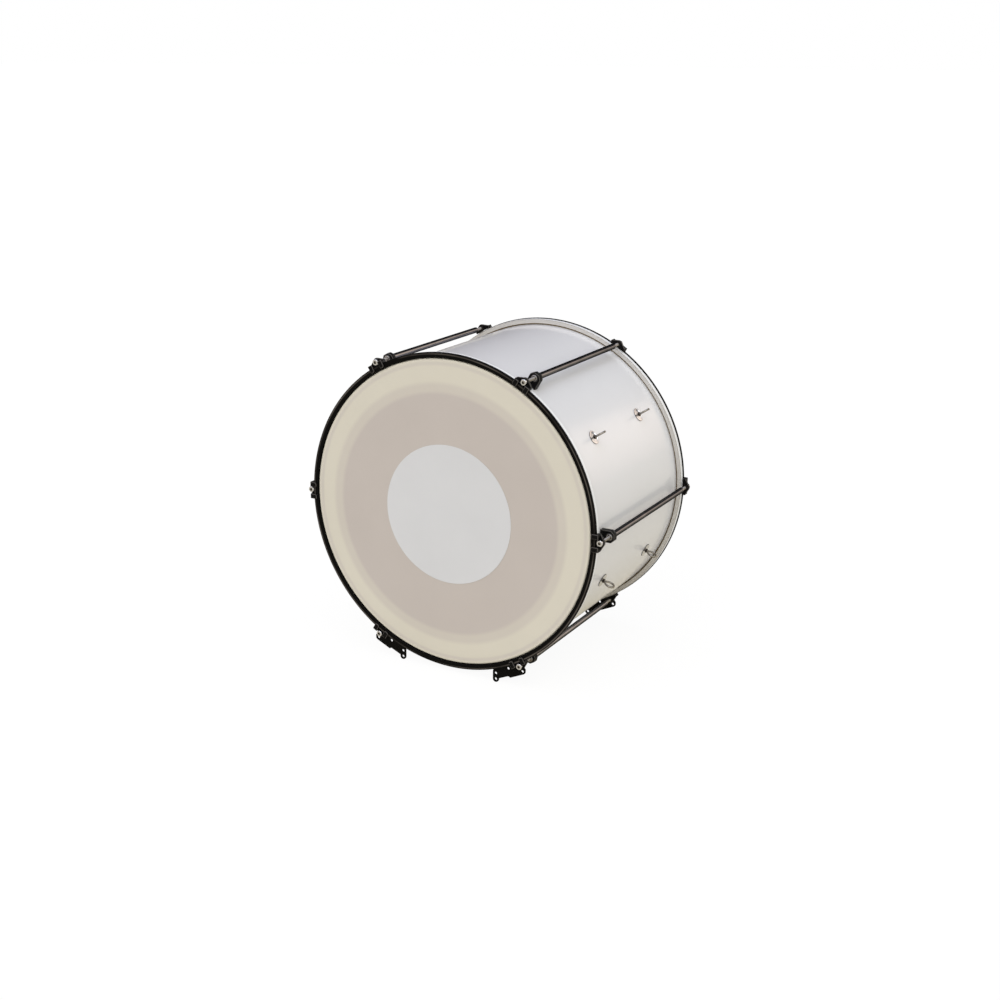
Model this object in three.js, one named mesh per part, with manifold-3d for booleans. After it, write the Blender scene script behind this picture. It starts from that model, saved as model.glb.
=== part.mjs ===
// Marching bass drum, 24 by 16 inches nominal, standing on the ears of its four floor brackets.
// Millimetres, +Z up. The drum's axis lies along Y and its front head faces -Y.
// The origin is on the floor, below the middle of the drum.
import * as THREE from 'three';
import { mergeVertices } from 'three/addons/utils/BufferGeometryUtils.js';
import Module from 'manifold-3d';

const wasm = await Module();
wasm.setup();

// Fits that many pieces share
const seatGap = 0.3;
const threadGap = 0.4;
const overrun = 12;

// Sides of the round pieces
const drumSides = 48;
const rodSides = 10;
const smallSides = 8;
const hexSides = 6;
const arcSteps = 7;
const bossSteps = 4;
const knuckleSteps = 2;

// Shell, a wooden tube with a bearing edge at each end
const shellOuterRadius = 304;
const shellWall = 7;
const shellDepth = 412;
const crestInset = 2.5;
const crestOuterDrop = 3;
const crestInnerDrop = 4;

// Head, a film whose collar runs down into the channel of its flesh hoop
const filmThickness = 0.4;
const filmShoulder = 0.5;
const collarDrop = 2;
const collarClearance = 0.6;
const dotRadius = 139;
const dotThickness = 0.3;
const dampingRingClearance = 1;
const dampingRingWidth = 51;
const dampingRingThickness = 1;

// Flesh hoop, an aluminium channel that is open towards the playing face
const fleshHoopClearance = 0.6;
const fleshHoopWidth = 10.9;
const fleshHoopHeight = 9;
const fleshHoopSetback = 4;
const channelLip = 1.2;
const channelLipHeight = 5.5;
const channelWidth = 2;
const channelFloor = 2.2;

// Counter hoop, a flat steel ring that presses on the flesh hoop
const counterHoopOverhang = 1.2;
const counterHoopWidth = 10.7;
const counterHoopThickness = 6;
const counterHoopChamfer = 1.6;

// Lugs: six lines of tube, claws and tension bolts around the shell
const lugCount = 6;
const firstLugAngle = Math.PI / 6;
const lugOffset = 7;
const bracketLugs = [2, 3];

// Tension tubes and their threaded inserts
const tubeRadius = 6;
const tubeWall = 1.2;
const tubeFrontGap = 32;
const tubeRearGap = 24;
const insertLength = 25;
const insertFlange = 1.5;
const insertFlangeInset = 0.5;

// Standoffs, which carry the tubes near their front ends, and their screws
const standoffHalfWidth = 12;
const standoffTopHalfWidth = 5.5;
const standoffShoulder = 2.5;
const standoffRise = 9.5;
const standoffLength = 12;
const standoffTubeShow = 1;
const standoffScrewRadius = 2.2;
const standoffScrewDepth = 8;
const standoffScrewHeadRadius = 5;
const standoffScrewHeadHeight = 3;

// Tension bolts
const boltRadius = 3;
const boltLength = 50;
const boltHeadRadius = 6;
const boltHeadHeight = 5.5;
const boltSocketRadius = 3.2;
const boltSocketDepth = 3.2;

// Claws: a boss beside the hoop for the bolt, and two fingers that hook over the hoop's face
const clawBossRadius = 8;
const clawBossLength = 4;
const clawBossSetback = 6.3;
const fingerOffset = 12.5;
const fingerWidth = 10;
const fingerOuterDrop = 1;
const fingerCap = 3.8;
const fingerReach = 9;
const fingerKnuckle = 2.6;
const fingerTipRound = 1.6;

// Floor brackets, flat plates under the bolt heads of the two lowest lugs at each end
const bracketThickness = 3;
const bracketEarReach = 54;
const bracketEarDrop = 39.6;
const bracketEarRadius = 6.4;
const bracketEarTop = 24.2;
const bracketEarRoot = 37.1;
const bracketEarHoleSpacing = 12.2;
const bracketStepReach = 25.9;
const bracketStepDrop = 27.5;
const bracketStepWidth = 4.4;
const bracketStepDepth = 2.2;
const bracketNeck = 7;
const bracketTailReach = 5;
const bracketTailDrop = 10.5;
const bracketTailRadius = 6.2;
const bracketMidHoleReach = 26.3;
const bracketMidHoleDrop = 11.2;
const bracketHoleRadius = 2.9;

// Eye bolts for a carrying strap, on the right side of the shell
const eyeUpperAngle = THREE.MathUtils.degToRad(57);
const eyeLowerAngle = THREE.MathUtils.degToRad(112);
const eyeSpacing = 200;
const eyeRingRadius = 8.6;
const eyeWireRadius = 2;
const eyeNeck = 3.5;
const eyeCollarRadius = 4.2;
const eyeCollarHeight = 1.8;
const eyeShankRadius = 3;
const eyeRingSides = 16;
const eyeWireSides = 6;
const rosetteRadius = 13.5;
const rosetteRimHeight = 0.6;
const rosetteShoulderRadius = 9.7;
const rosetteShoulderHeight = 1.5;
const rosetteCrownHeight = 2.4;
const eyeNutRadius = 5.8;
const eyeNutHeight = 5;
const eyeShankTail = 2;

// Places along the axis, measured outwards from the middle of the drum
const crestOut = shellDepth / 2;
const filmInnerOut = crestOut + seatGap;
const filmOuterOut = filmInnerOut + filmThickness;
const fleshTopOut = crestOut - fleshHoopSetback;
const fleshBottomOut = fleshTopOut - fleshHoopHeight;
const hoopInnerOut = fleshTopOut + seatGap;
const hoopFaceOut = hoopInnerOut + counterHoopThickness;
const bossFaceOut = hoopFaceOut - clawBossSetback;
const bossBackOut = bossFaceOut - clawBossLength;
const tubeFrontEnd = bossBackOut - tubeFrontGap;
const tubeRearEnd = bossBackOut - tubeRearGap;
const boltSeatOut = bossFaceOut + seatGap;
const bracketFaceOut = boltSeatOut + bracketThickness;
const bracketBoltSeatOut = bracketFaceOut + seatGap;

// Places across the axis
const shellInnerRadius = shellOuterRadius - shellWall;
const facetShare = Math.cos(Math.PI / drumSides);
const shellInnerFlat = shellInnerRadius * facetShare;
const crestRadius = shellOuterRadius - crestInset;
const filmFlatRadius = crestRadius + filmShoulder;
const collarRadius = shellOuterRadius + collarClearance;
const dampingRingOuterRadius = shellInnerRadius - dampingRingClearance;
const dampingRingInnerRadius = dampingRingOuterRadius - dampingRingWidth;
const fleshHoopBore = shellOuterRadius + fleshHoopClearance;
const fleshHoopOuterRadius = fleshHoopBore + fleshHoopWidth;
const counterHoopOuterRadius = fleshHoopOuterRadius + counterHoopOverhang;
const counterHoopBore = counterHoopOuterRadius - counterHoopWidth;
const lugCircleRadius = counterHoopOuterRadius + lugOffset;
const hoopClearRadius = counterHoopOuterRadius + seatGap;
const lowestLugDrop = lugCircleRadius * Math.cos(firstLugAngle);
const axisHeight = lowestLugDrop + bracketEarDrop + bracketEarRadius * Math.cos(Math.PI / (2 * arcSteps));

// Finishes
const finishes = {
  shellWhite: { color: 0xe4e4e6, roughness: 0.18, metalness: 0 },
  filmTan: { color: 0xc1b7ad, roughness: 0.45, metalness: 0 },
  dotGrey: { color: 0xd1d0cc, roughness: 0.4, metalness: 0 },
  ringCream: { color: 0xd3ccba, roughness: 0.7, metalness: 0 },
  aluminium: { color: 0xd6d0c8, roughness: 0.35, metalness: 0.9 },
  hoopBlack: { color: 0x14110e, roughness: 0.3, metalness: 0.4 },
  plasticBlack: { color: 0x100f0e, roughness: 0.5, metalness: 0 },
  blackNickel: { color: 0x5a5350, roughness: 0.2, metalness: 1 },
  nickel: { color: 0xc9c5bd, roughness: 0.22, metalness: 1 },
};

// Turns a closed geometry into a solid, with its faces pointing out
function toSolid(geometry) {
  const bare = geometry.clone();
  bare.deleteAttribute('normal');
  bare.deleteAttribute('uv');
  const merged = mergeVertices(bare);
  const points = merged.attributes.position;
  const corners = [];
  let volume = 0;
  const [a, b, c] = [new THREE.Vector3(), new THREE.Vector3(), new THREE.Vector3()];
  for (let i = 0; i < merged.index.count; i += 3) {
    const triangle = [0, 1, 2].map((k) => merged.index.getX(i + k));
    if (new Set(triangle).size === 3) {
      corners.push(...triangle);
      a.fromBufferAttribute(points, triangle[0]);
      b.fromBufferAttribute(points, triangle[1]);
      c.fromBufferAttribute(points, triangle[2]);
      volume += a.dot(b.cross(c));
    }
  }
  if (volume < 0) {
    corners.reverse();
  }
  const vertProperties = new Float32Array(points.array);
  return new wasm.Manifold(new wasm.Mesh({ numProp: 3, vertProperties, triVerts: new Uint32Array(corners) }));
}

function toGeometry(solid) {
  const mesh = solid.getMesh();
  const geometry = new THREE.BufferGeometry();
  geometry.setAttribute('position', new THREE.BufferAttribute(mesh.vertProperties, mesh.numProp));
  geometry.setIndex(new THREE.BufferAttribute(mesh.triVerts, 1));
  return geometry;
}

// Revolves a profile of [radius, out] pairs about the drum's axis, with out towards the front
function turned(profile, sides) {
  const points = profile.map(([radius, out]) => new THREE.Vector2(radius, out));
  return new THREE.LatheGeometry(points, sides).rotateX(Math.PI);
}

// Revolves a closed ring profile
function turnedRing(profile, sides) {
  return turned([...profile, profile[0]], sides);
}

// Revolves a profile of [radius, height] pairs about a line that runs outwards from the shell
function turnedOutwards(profile, sides) {
  const points = profile.map(([radius, height]) => new THREE.Vector2(radius, height));
  return new THREE.LatheGeometry(points, sides).rotateX(Math.PI / 2);
}

// Extrudes a shape of (across, outwards from the shell) along the axis
function extrudedAlong(shape, fromOut, length) {
  const options = { depth: length, bevelEnabled: false, curveSegments: bossSteps };
  return new THREE.ExtrudeGeometry(shape, options).translate(0, 0, fromOut).rotateX(Math.PI / 2);
}

// A cutter along the axis, centred the given distance from it
function axialHole(radius, offset, fromOut, toOut, sides) {
  const length = toOut - fromOut;
  const rod = new THREE.CylinderGeometry(radius, radius, length, sides);
  return rod.translate(0, -fromOut - length / 2, offset);
}

// A cutter that runs straight outwards through the wall of the shell
function radialHole(radius, from, to, sides) {
  const length = to - from;
  const rod = new THREE.CylinderGeometry(radius, radius, length, sides).rotateX(Math.PI / 2);
  return rod.translate(0, 0, from + length / 2);
}

function circleHole(shape, x, y, radius) {
  const hole = new THREE.Path();
  for (let step = 0; step < smallSides; step += 1) {
    const turn = (2 * Math.PI * step) / smallSides;
    const [across, up] = [x + radius * Math.cos(turn), y + radius * Math.sin(turn)];
    if (step === 0) {
      hole.moveTo(across, up);
    } else {
      hole.lineTo(across, up);
    }
  }
  hole.closePath();
  shape.holes.push(hole);
}

// Node making: one named mesh each
function node(name, geometry, finish) {
  const material = new THREE.MeshStandardMaterial({ ...finishes[finish], flatShading: true });
  const mesh = new THREE.Mesh(geometry, material);
  mesh.name = name;
  return mesh;
}

function lugAngle(index) {
  return firstLugAngle + (index * 2 * Math.PI) / lugCount;
}

// The eye bolts, two above and two below the right-hand lug
function eyePlaces() {
  return [
    { name: 'upper_front', angle: eyeUpperAngle, along: -eyeSpacing / 2 },
    { name: 'upper_rear', angle: eyeUpperAngle, along: eyeSpacing / 2 },
    { name: 'lower_front', angle: eyeLowerAngle, along: -eyeSpacing / 2 },
    { name: 'lower_rear', angle: eyeLowerAngle, along: eyeSpacing / 2 },
  ];
}

function makeShell() {
  const outerEdge = crestOut - crestOuterDrop;
  const innerEdge = crestOut - crestInnerDrop;
  const profile = [
    [shellOuterRadius, -outerEdge],
    [shellOuterRadius, outerEdge],
    [crestRadius, crestOut],
    [shellInnerRadius, innerEdge],
    [shellInnerRadius, -innerEdge],
    [crestRadius, -crestOut],
  ];
  let solid = toSolid(turnedRing(profile, drumSides));
  for (const place of eyePlaces()) {
    const cut = radialHole(eyeShankRadius + threadGap, shellInnerRadius - overrun,
      shellOuterRadius + overrun, smallSides);
    solid = solid.subtract(toSolid(cut.translate(0, place.along, 0).rotateY(place.angle)));
  }
  for (let lug = 0; lug < lugCount; lug += 1) {
    const cut = radialHole(standoffScrewRadius + threadGap, shellInnerRadius - overrun,
      shellOuterRadius + overrun, smallSides);
    solid = solid.subtract(toSolid(cut.translate(0, -standoffMiddleOut(), 0).rotateY(lugAngle(lug))));
  }
  return toGeometry(solid);
}

function makeFilm() {
  const channelMiddle = fleshHoopBore + channelLip + channelWidth / 2;
  const skirtInner = channelMiddle - filmThickness / 2;
  const skirtOuter = channelMiddle + filmThickness / 2;
  const skirtEnd = fleshBottomOut + channelFloor + seatGap;
  const skirtTop = fleshBottomOut + channelLipHeight + seatGap;
  const neckOuter = counterHoopBore - collarClearance;
  return toGeometry(toSolid(turned([
    [0, filmOuterOut],
    [filmFlatRadius, filmOuterOut],
    [collarRadius, filmOuterOut - collarDrop],
    [neckOuter, fleshTopOut],
    [skirtOuter, skirtTop],
    [skirtOuter, skirtEnd],
    [skirtInner, skirtEnd],
    [skirtInner, skirtTop],
    [neckOuter - filmThickness, fleshTopOut],
    [collarRadius - filmThickness, filmInnerOut - collarDrop],
    [filmFlatRadius, filmInnerOut],
    [0, filmInnerOut],
  ], drumSides)));
}

function makeDot() {
  const back = filmOuterOut + seatGap;
  const face = back + dotThickness;
  return toGeometry(toSolid(turned([[0, face], [dotRadius, face], [dotRadius, back], [0, back]], drumSides)));
}

function makeDampingRing() {
  const face = filmInnerOut - seatGap;
  const back = face - dampingRingThickness;
  return toGeometry(toSolid(turnedRing([
    [dampingRingOuterRadius, back],
    [dampingRingOuterRadius, face],
    [dampingRingInnerRadius, face],
    [dampingRingInnerRadius, back],
  ], drumSides)));
}

function makeFleshHoop() {
  const lip = fleshHoopBore + channelLip;
  const channelOuter = lip + channelWidth;
  const lipTop = fleshBottomOut + channelLipHeight;
  const floor = fleshBottomOut + channelFloor;
  return toGeometry(toSolid(turnedRing([
    [fleshHoopBore, fleshBottomOut],
    [fleshHoopOuterRadius, fleshBottomOut],
    [fleshHoopOuterRadius, fleshTopOut],
    [channelOuter, fleshTopOut],
    [channelOuter, floor],
    [lip, floor],
    [lip, lipTop],
    [fleshHoopBore, lipTop],
  ], drumSides)));
}

function makeCounterHoop() {
  return toGeometry(toSolid(turnedRing([
    [counterHoopBore, hoopInnerOut],
    [counterHoopOuterRadius, hoopInnerOut],
    [counterHoopOuterRadius, hoopFaceOut - counterHoopChamfer],
    [counterHoopOuterRadius - counterHoopChamfer, hoopFaceOut],
    [counterHoopBore + counterHoopChamfer, hoopFaceOut],
    [counterHoopBore, hoopFaceOut - counterHoopChamfer],
  ], drumSides)));
}

// A tension tube with the threaded inserts that are pressed into its two ends
function makeTube() {
  const bore = tubeRadius - tubeWall;
  const thread = boltRadius + threadGap;
  const flange = tubeRadius - insertFlangeInset;
  return toGeometry(toSolid(turnedRing([
    [tubeRadius, -tubeRearEnd],
    [tubeRadius, tubeFrontEnd],
    [flange, tubeFrontEnd],
    [flange, tubeFrontEnd + insertFlange],
    [thread, tubeFrontEnd + insertFlange],
    [thread, tubeFrontEnd - insertLength],
    [bore, tubeFrontEnd - insertLength],
    [bore, insertLength - tubeRearEnd],
    [thread, insertLength - tubeRearEnd],
    [thread, -tubeRearEnd - insertFlange],
    [flange, -tubeRearEnd - insertFlange],
    [flange, -tubeRearEnd],
  ], rodSides).translate(0, 0, lugCircleRadius)));
}

function joined(solids) {
  return solids.reduce((whole, solid) => whole.add(solid));
}

function standoffFrontOut() {
  return tubeFrontEnd - standoffTubeShow;
}

function standoffMiddleOut() {
  return standoffFrontOut() - standoffLength / 2;
}

// A standoff block, saddled on the shell, with the screw that holds it from inside the shell
function makeStandoff() {
  const shape = new THREE.Shape();
  const axis = lugCircleRadius;
  const foot = shellInnerRadius;
  shape.moveTo(-standoffHalfWidth, foot);
  shape.lineTo(standoffHalfWidth, foot);
  shape.lineTo(standoffHalfWidth, axis + standoffShoulder);
  shape.lineTo(standoffTopHalfWidth, axis + standoffRise);
  shape.lineTo(-standoffTopHalfWidth, axis + standoffRise);
  shape.lineTo(-standoffHalfWidth, axis + standoffShoulder);
  shape.closePath();
  const back = standoffFrontOut() - standoffLength;
  const block = toSolid(extrudedAlong(shape, back, standoffLength));
  const front = standoffFrontOut() + overrun;
  const shellCut = toSolid(axialHole(shellOuterRadius + seatGap, 0, back - overrun, front, drumSides));
  const tubeCut = toSolid(axialHole(tubeRadius + seatGap, axis, back - overrun, front, rodSides));
  const headTop = shellInnerFlat - seatGap;
  const headBottom = headTop - standoffScrewHeadHeight;
  const end = shellOuterRadius + standoffScrewDepth;
  const screw = toSolid(turnedOutwards([
    [0, headBottom],
    [standoffScrewHeadRadius, headBottom],
    [standoffScrewHeadRadius, headTop],
    [standoffScrewRadius, headTop],
    [standoffScrewRadius, end],
    [0, end],
  ], smallSides).translate(0, -standoffMiddleOut(), 0));
  return toGeometry(block.subtract(shellCut).subtract(tubeCut).add(screw));
}

function makeBolt(seatOut) {
  const top = seatOut + boltHeadHeight;
  const end = seatOut - boltLength;
  const body = toSolid(turned([
    [0, top],
    [boltHeadRadius, top],
    [boltHeadRadius, seatOut],
    [boltRadius, seatOut],
    [boltRadius, end],
    [0, end],
  ], rodSides).translate(0, 0, lugCircleRadius));
  const socket = axialHole(boltSocketRadius, lugCircleRadius, top - boltSocketDepth, top + overrun, hexSides);
  return toGeometry(body.subtract(toSolid(socket)));
}

// The outline of a claw's boss and of the web that carries its two fingers
function clawWebShape() {
  const shape = new THREE.Shape();
  const halfWidth = fingerOffset + fingerWidth / 2;
  const shoulder = lugCircleRadius - fingerOuterDrop;
  const foot = counterHoopOuterRadius - clawBossRadius;
  const reach = Math.hypot(halfWidth, fingerOuterDrop);
  const tangent = Math.acos(clawBossRadius / reach) - Math.atan2(fingerOuterDrop, halfWidth);
  shape.moveTo(-halfWidth, foot);
  shape.lineTo(halfWidth, foot);
  shape.lineTo(halfWidth, shoulder);
  shape.absarc(0, lugCircleRadius, clawBossRadius, tangent, Math.PI - tangent, false);
  shape.lineTo(-halfWidth, shoulder);
  shape.closePath();
  return shape;
}

// A finger's section, drawn with x outwards from the shell and y out along the axis
function fingerShape() {
  const outside = lugCircleRadius - fingerOuterDrop;
  const inside = counterHoopOuterRadius - fingerReach;
  const under = hoopFaceOut + seatGap;
  const top = hoopFaceOut + seatGap + fingerCap;
  const root = counterHoopOuterRadius - counterHoopWidth / 2;
  const shape = new THREE.Shape();
  shape.moveTo(outside, bossBackOut);
  shape.lineTo(outside, top - fingerKnuckle);
  shape.absarc(outside - fingerKnuckle, top - fingerKnuckle, fingerKnuckle, 0, Math.PI / 2, false);
  shape.lineTo(inside + fingerTipRound, top - fingerTipRound / 2);
  shape.lineTo(inside, top - fingerTipRound - fingerTipRound / 2);
  shape.lineTo(inside, under);
  shape.lineTo(root, under);
  shape.lineTo(root, bossBackOut);
  shape.closePath();
  return shape;
}

function makeClaw() {
  const web = toSolid(extrudedAlong(clawWebShape(), bossBackOut, clawBossLength));
  const fingers = [-fingerOffset, fingerOffset].map((offset) => {
    const options = { depth: fingerWidth, bevelEnabled: false, curveSegments: knuckleSteps };
    const finger = new THREE.ExtrudeGeometry(fingerShape(), options);
    const basis = new THREE.Matrix4().makeBasis(
      new THREE.Vector3(0, 0, 1), new THREE.Vector3(0, -1, 0), new THREE.Vector3(1, 0, 0));
    return toSolid(finger.translate(0, 0, offset - fingerWidth / 2).applyMatrix4(basis));
  });
  const deep = bossBackOut - overrun;
  const hoopCut = toSolid(axialHole(hoopClearRadius, 0, deep, hoopFaceOut + seatGap, drumSides));
  const boltCut = toSolid(axialHole(boltRadius + threadGap, lugCircleRadius, deep, hoopFaceOut, smallSides));
  return toGeometry(joined([web, ...fingers]).subtract(hoopCut).subtract(boltCut));
}

// Where the lower edge of a bracket runs on to the round end behind its bolt
function tailTangent() {
  const reach = bracketStepReach - bracketStepWidth + bracketTailReach;
  const drop = bracketStepDrop + bracketStepDepth - bracketTailDrop;
  return Math.atan2(drop, reach) + Math.acos(bracketTailRadius / Math.hypot(reach, drop));
}

// The plate of a floor bracket, drawn in the plane of the head. side is 1 for the ear that lies
// left of its bolt as drawn, which is the bracket on the right, and -1 for its mirror image.
function bracketShape(side) {
  const boltX = lugCircleRadius * Math.sin(firstLugAngle);
  const x = (reach) => side * (boltX - reach);
  const z = (drop) => -lowestLugDrop - drop;
  const shape = new THREE.Shape();
  const earInner = bracketEarReach + bracketEarRadius;
  const earOuter = bracketEarReach - bracketEarRadius;
  const arc = (reach, drop, radius, from, to) => {
    for (let step = 0; step <= arcSteps; step += 1) {
      const turn = from + ((to - from) * step) / arcSteps;
      shape.lineTo(x(reach + radius * Math.cos(turn)), z(drop + radius * Math.sin(turn)));
    }
  };
  shape.moveTo(x(earInner), z(bracketEarTop));
  arc(bracketEarReach, bracketEarDrop, bracketEarRadius, 0, Math.PI);
  shape.lineTo(x(earOuter), z(bracketEarRoot));
  shape.lineTo(x(bracketStepReach), z(bracketStepDrop));
  shape.lineTo(x(bracketStepReach - bracketStepWidth), z(bracketStepDrop + bracketStepDepth));
  arc(-bracketTailReach, bracketTailDrop, bracketTailRadius, tailTangent(), Math.PI);
  shape.lineTo(x(-bracketNeck), z(0));
  shape.lineTo(x(-bracketNeck), z(-bracketTailDrop));
  shape.lineTo(x(bracketEarReach), z(-bracketTailDrop));
  shape.closePath();
  circleHole(shape, x(0), z(0), boltRadius + threadGap);
  circleHole(shape, x(-bracketTailReach), z(bracketTailDrop), bracketHoleRadius);
  circleHole(shape, x(bracketMidHoleReach), z(bracketMidHoleDrop), bracketHoleRadius);
  circleHole(shape, x(bracketEarReach), z(bracketEarDrop), bracketHoleRadius);
  circleHole(shape, x(bracketEarReach), z(bracketEarDrop - bracketEarHoleSpacing), bracketHoleRadius);
  return shape;
}

// A floor bracket, cut clear of the hoop and of the two fingers beside its bolt
function makeBracket(side) {
  const back = boltSeatOut;
  const front = bracketFaceOut + overrun;
  const plate = toSolid(extrudedAlong(bracketShape(side), back, bracketThickness));
  const hoopCut = toSolid(axialHole(hoopClearRadius, 0, back - overrun, front, drumSides));
  const fingerCuts = [-fingerOffset, fingerOffset].map((offset) => {
    const width = fingerWidth + 2 * seatGap;
    const top = lugCircleRadius - fingerOuterDrop + seatGap;
    const height = top - shellOuterRadius;
    const length = front - back + overrun;
    const box = new THREE.BoxGeometry(width, length, height);
    box.translate(offset, -front + length / 2, shellOuterRadius + height / 2);
    return toSolid(box.rotateY(Math.PI - side * firstLugAngle));
  });
  return toGeometry(fingerCuts.reduce((rest, cut) => rest.subtract(cut), plate.subtract(hoopCut)));
}

// An eye bolt with its hexagonal nut inside the shell
function makeEyeBolt() {
  const seat = shellOuterRadius + seatGap + rosetteCrownHeight + seatGap;
  const collarTop = seat + eyeCollarHeight;
  const ringBottom = collarTop + eyeNeck;
  const nutTop = shellInnerFlat - seatGap;
  const shankEnd = nutTop - eyeNutHeight - eyeShankTail;
  const nut = toSolid(turnedOutwards([
    [0, nutTop - eyeNutHeight],
    [eyeNutRadius, nutTop - eyeNutHeight],
    [eyeNutRadius, nutTop],
    [0, nutTop],
  ], hexSides));
  const shank = toSolid(turnedOutwards([
    [0, shankEnd],
    [eyeShankRadius, shankEnd],
    [eyeShankRadius, seat],
    [eyeCollarRadius, seat],
    [eyeCollarRadius, collarTop],
    [eyeWireRadius, ringBottom],
    [0, ringBottom],
  ], smallSides));
  const ring = new THREE.TorusGeometry(eyeRingRadius, eyeWireRadius, eyeWireSides, eyeRingSides);
  const placed = ring.rotateY(Math.PI / 2).translate(0, 0, ringBottom + eyeRingRadius);
  return toGeometry(joined([shank, nut, toSolid(placed)]));
}

function makeRosette() {
  const seat = shellOuterRadius + seatGap;
  const bore = eyeShankRadius + threadGap;
  return toGeometry(toSolid(turnedOutwards([
    [bore, seat],
    [rosetteRadius, seat],
    [rosetteRadius, seat + rosetteRimHeight],
    [rosetteShoulderRadius, seat + rosetteShoulderHeight],
    [bore, seat + rosetteCrownHeight],
    [bore, seat],
  ], rodSides)));
}

// The pieces of one end, made for the front and turned about the vertical for the rear
function addEnd(drum, end) {
  const turn = end === 'front' ? 0 : Math.PI;
  const facing = Math.cos(turn);
  const group = new THREE.Group();
  group.rotation.z = turn;
  group.add(node(`head_film_${end}`, makeFilm(), 'filmTan'));
  group.add(node(`head_dot_${end}`, makeDot(), 'dotGrey'));
  group.add(node(`damping_ring_${end}`, makeDampingRing(), 'ringCream'));
  group.add(node(`flesh_hoop_${end}`, makeFleshHoop(), 'aluminium'));
  group.add(node(`counter_hoop_${end}`, makeCounterHoop(), 'hoopBlack'));
  for (let lug = 0; lug < lugCount; lug += 1) {
    const seat = bracketLugs.includes(lug) ? bracketBoltSeatOut : boltSeatOut;
    const claw = node(`claw_${end}_${lug + 1}`, makeClaw(), 'hoopBlack');
    const bolt = node(`tension_bolt_${end}_${lug + 1}`, makeBolt(seat), 'nickel');
    for (const piece of [claw, bolt]) {
      piece.rotation.y = facing * lugAngle(lug);
      group.add(piece);
    }
  }
  group.add(node(`floor_bracket_${end}_right`, makeBracket(facing), 'hoopBlack'));
  group.add(node(`floor_bracket_${end}_left`, makeBracket(-facing), 'hoopBlack'));
  drum.add(group);
}

function makeDrum() {
  const drum = new THREE.Group();
  drum.position.z = axisHeight;
  drum.add(node('shell', makeShell(), 'shellWhite'));
  addEnd(drum, 'front');
  addEnd(drum, 'rear');
  for (let lug = 0; lug < lugCount; lug += 1) {
    const tube = node(`tension_tube_${lug + 1}`, makeTube(), 'blackNickel');
    const standoff = node(`tube_standoff_${lug + 1}`, makeStandoff(), 'plasticBlack');
    for (const piece of [tube, standoff]) {
      piece.rotation.y = lugAngle(lug);
      drum.add(piece);
    }
  }
  for (const place of eyePlaces()) {
    const eye = node(`eye_bolt_${place.name}`, makeEyeBolt(), 'nickel');
    const rosette = node(`eye_rosette_${place.name}`, makeRosette(), 'nickel');
    for (const piece of [eye, rosette]) {
      piece.rotation.y = place.angle;
      piece.position.y = place.along;
      drum.add(piece);
    }
  }
  return drum;
}

export default makeDrum();
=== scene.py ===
"""Marching bass drum: the detailed pieces, finishes and studio around the drum's fixed frame."""

import math

import bmesh
import bpy
from bpy.props import FloatProperty, FloatVectorProperty, IntProperty, PointerProperty
from mathutils import Matrix, Vector


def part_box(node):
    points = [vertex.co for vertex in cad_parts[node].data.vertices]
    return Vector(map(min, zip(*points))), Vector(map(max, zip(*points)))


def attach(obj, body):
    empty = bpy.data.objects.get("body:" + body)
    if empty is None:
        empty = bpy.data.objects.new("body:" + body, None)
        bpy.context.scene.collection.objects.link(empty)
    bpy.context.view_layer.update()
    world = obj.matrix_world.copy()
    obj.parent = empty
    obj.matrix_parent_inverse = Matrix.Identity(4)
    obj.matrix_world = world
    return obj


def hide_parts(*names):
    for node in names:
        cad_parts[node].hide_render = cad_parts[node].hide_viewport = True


bl_info = {
    "name": "Marching Bass Drum",
    "version": (1, 0, 0),
    "blender": (4, 5, 0),
    "location": "3D View > Sidebar > Drum",
    "description": "Builds the pieces, finishes and studio of a marching bass drum",
    "category": "Add Mesh",
}

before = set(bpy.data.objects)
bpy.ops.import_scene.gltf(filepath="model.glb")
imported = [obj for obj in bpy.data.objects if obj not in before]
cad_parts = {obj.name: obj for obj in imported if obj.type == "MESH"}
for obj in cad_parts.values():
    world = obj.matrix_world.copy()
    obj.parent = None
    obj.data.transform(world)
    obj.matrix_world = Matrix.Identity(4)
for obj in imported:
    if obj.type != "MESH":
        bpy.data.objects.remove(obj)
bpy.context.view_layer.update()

MM = 0.001
ENDS = ("front", "rear")
LUG_COUNT = 6
FIRST_LUG = math.radians(30)
BRACKET_LUGS = (3, 4)
EYES = {
    "upper_front": (57, -1),
    "upper_rear": (57, 1),
    "lower_front": (112, -1),
    "lower_rear": (112, 1),
}


# The studio's walls: their own colour, and soft lights on them. Each light has the direction that it lies in,
# how tight it is, its colour, and the turn from +Y towards +X at which it ends in an upright edge, or None.
WALL = (0.05, 0.05, 0.05)
SOFT_LIGHTS = (
    ((0.1, -0.8, 0.7), 4.0, (2.15, 2.15, 2.17), None),
    ((1.0, 0.0, 0.15), 5.0, (1.09, 1.16, 1.07), None),
    ((-1.0, 0.1, 0.4), 8.0, (1.14, 1.0, 1.09), None),
    ((0.0, 0.0, 1.0), 10.0, (1.14, 1.3, 1.77), None),
    ((0.5, 0.83, 0.28), 18.0, (1.72, 1.4, 1.15), 21.3),
    ((0.0, 1.0, 0.0), 40.0, (5.0, 5.0, 5.0), None),
)


def width_of(node):
    """Half of a round CAD node's height, which is its radius"""
    low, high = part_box(node)
    return (high.z - low.z) / 2


def out_of(node):
    """How far a front CAD node reaches from the drum's middle along its axis, nearest and furthest"""
    low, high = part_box(node)
    return -high.y, -low.y


def height_of_axis():
    low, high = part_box("counter_hoop_front")
    return (low.z + high.z) / 2


def lug_circle():
    """Distance from the drum's axis to the tension tubes"""
    low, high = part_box("tension_tube_2")
    return (low.x + high.x) / 2


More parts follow.
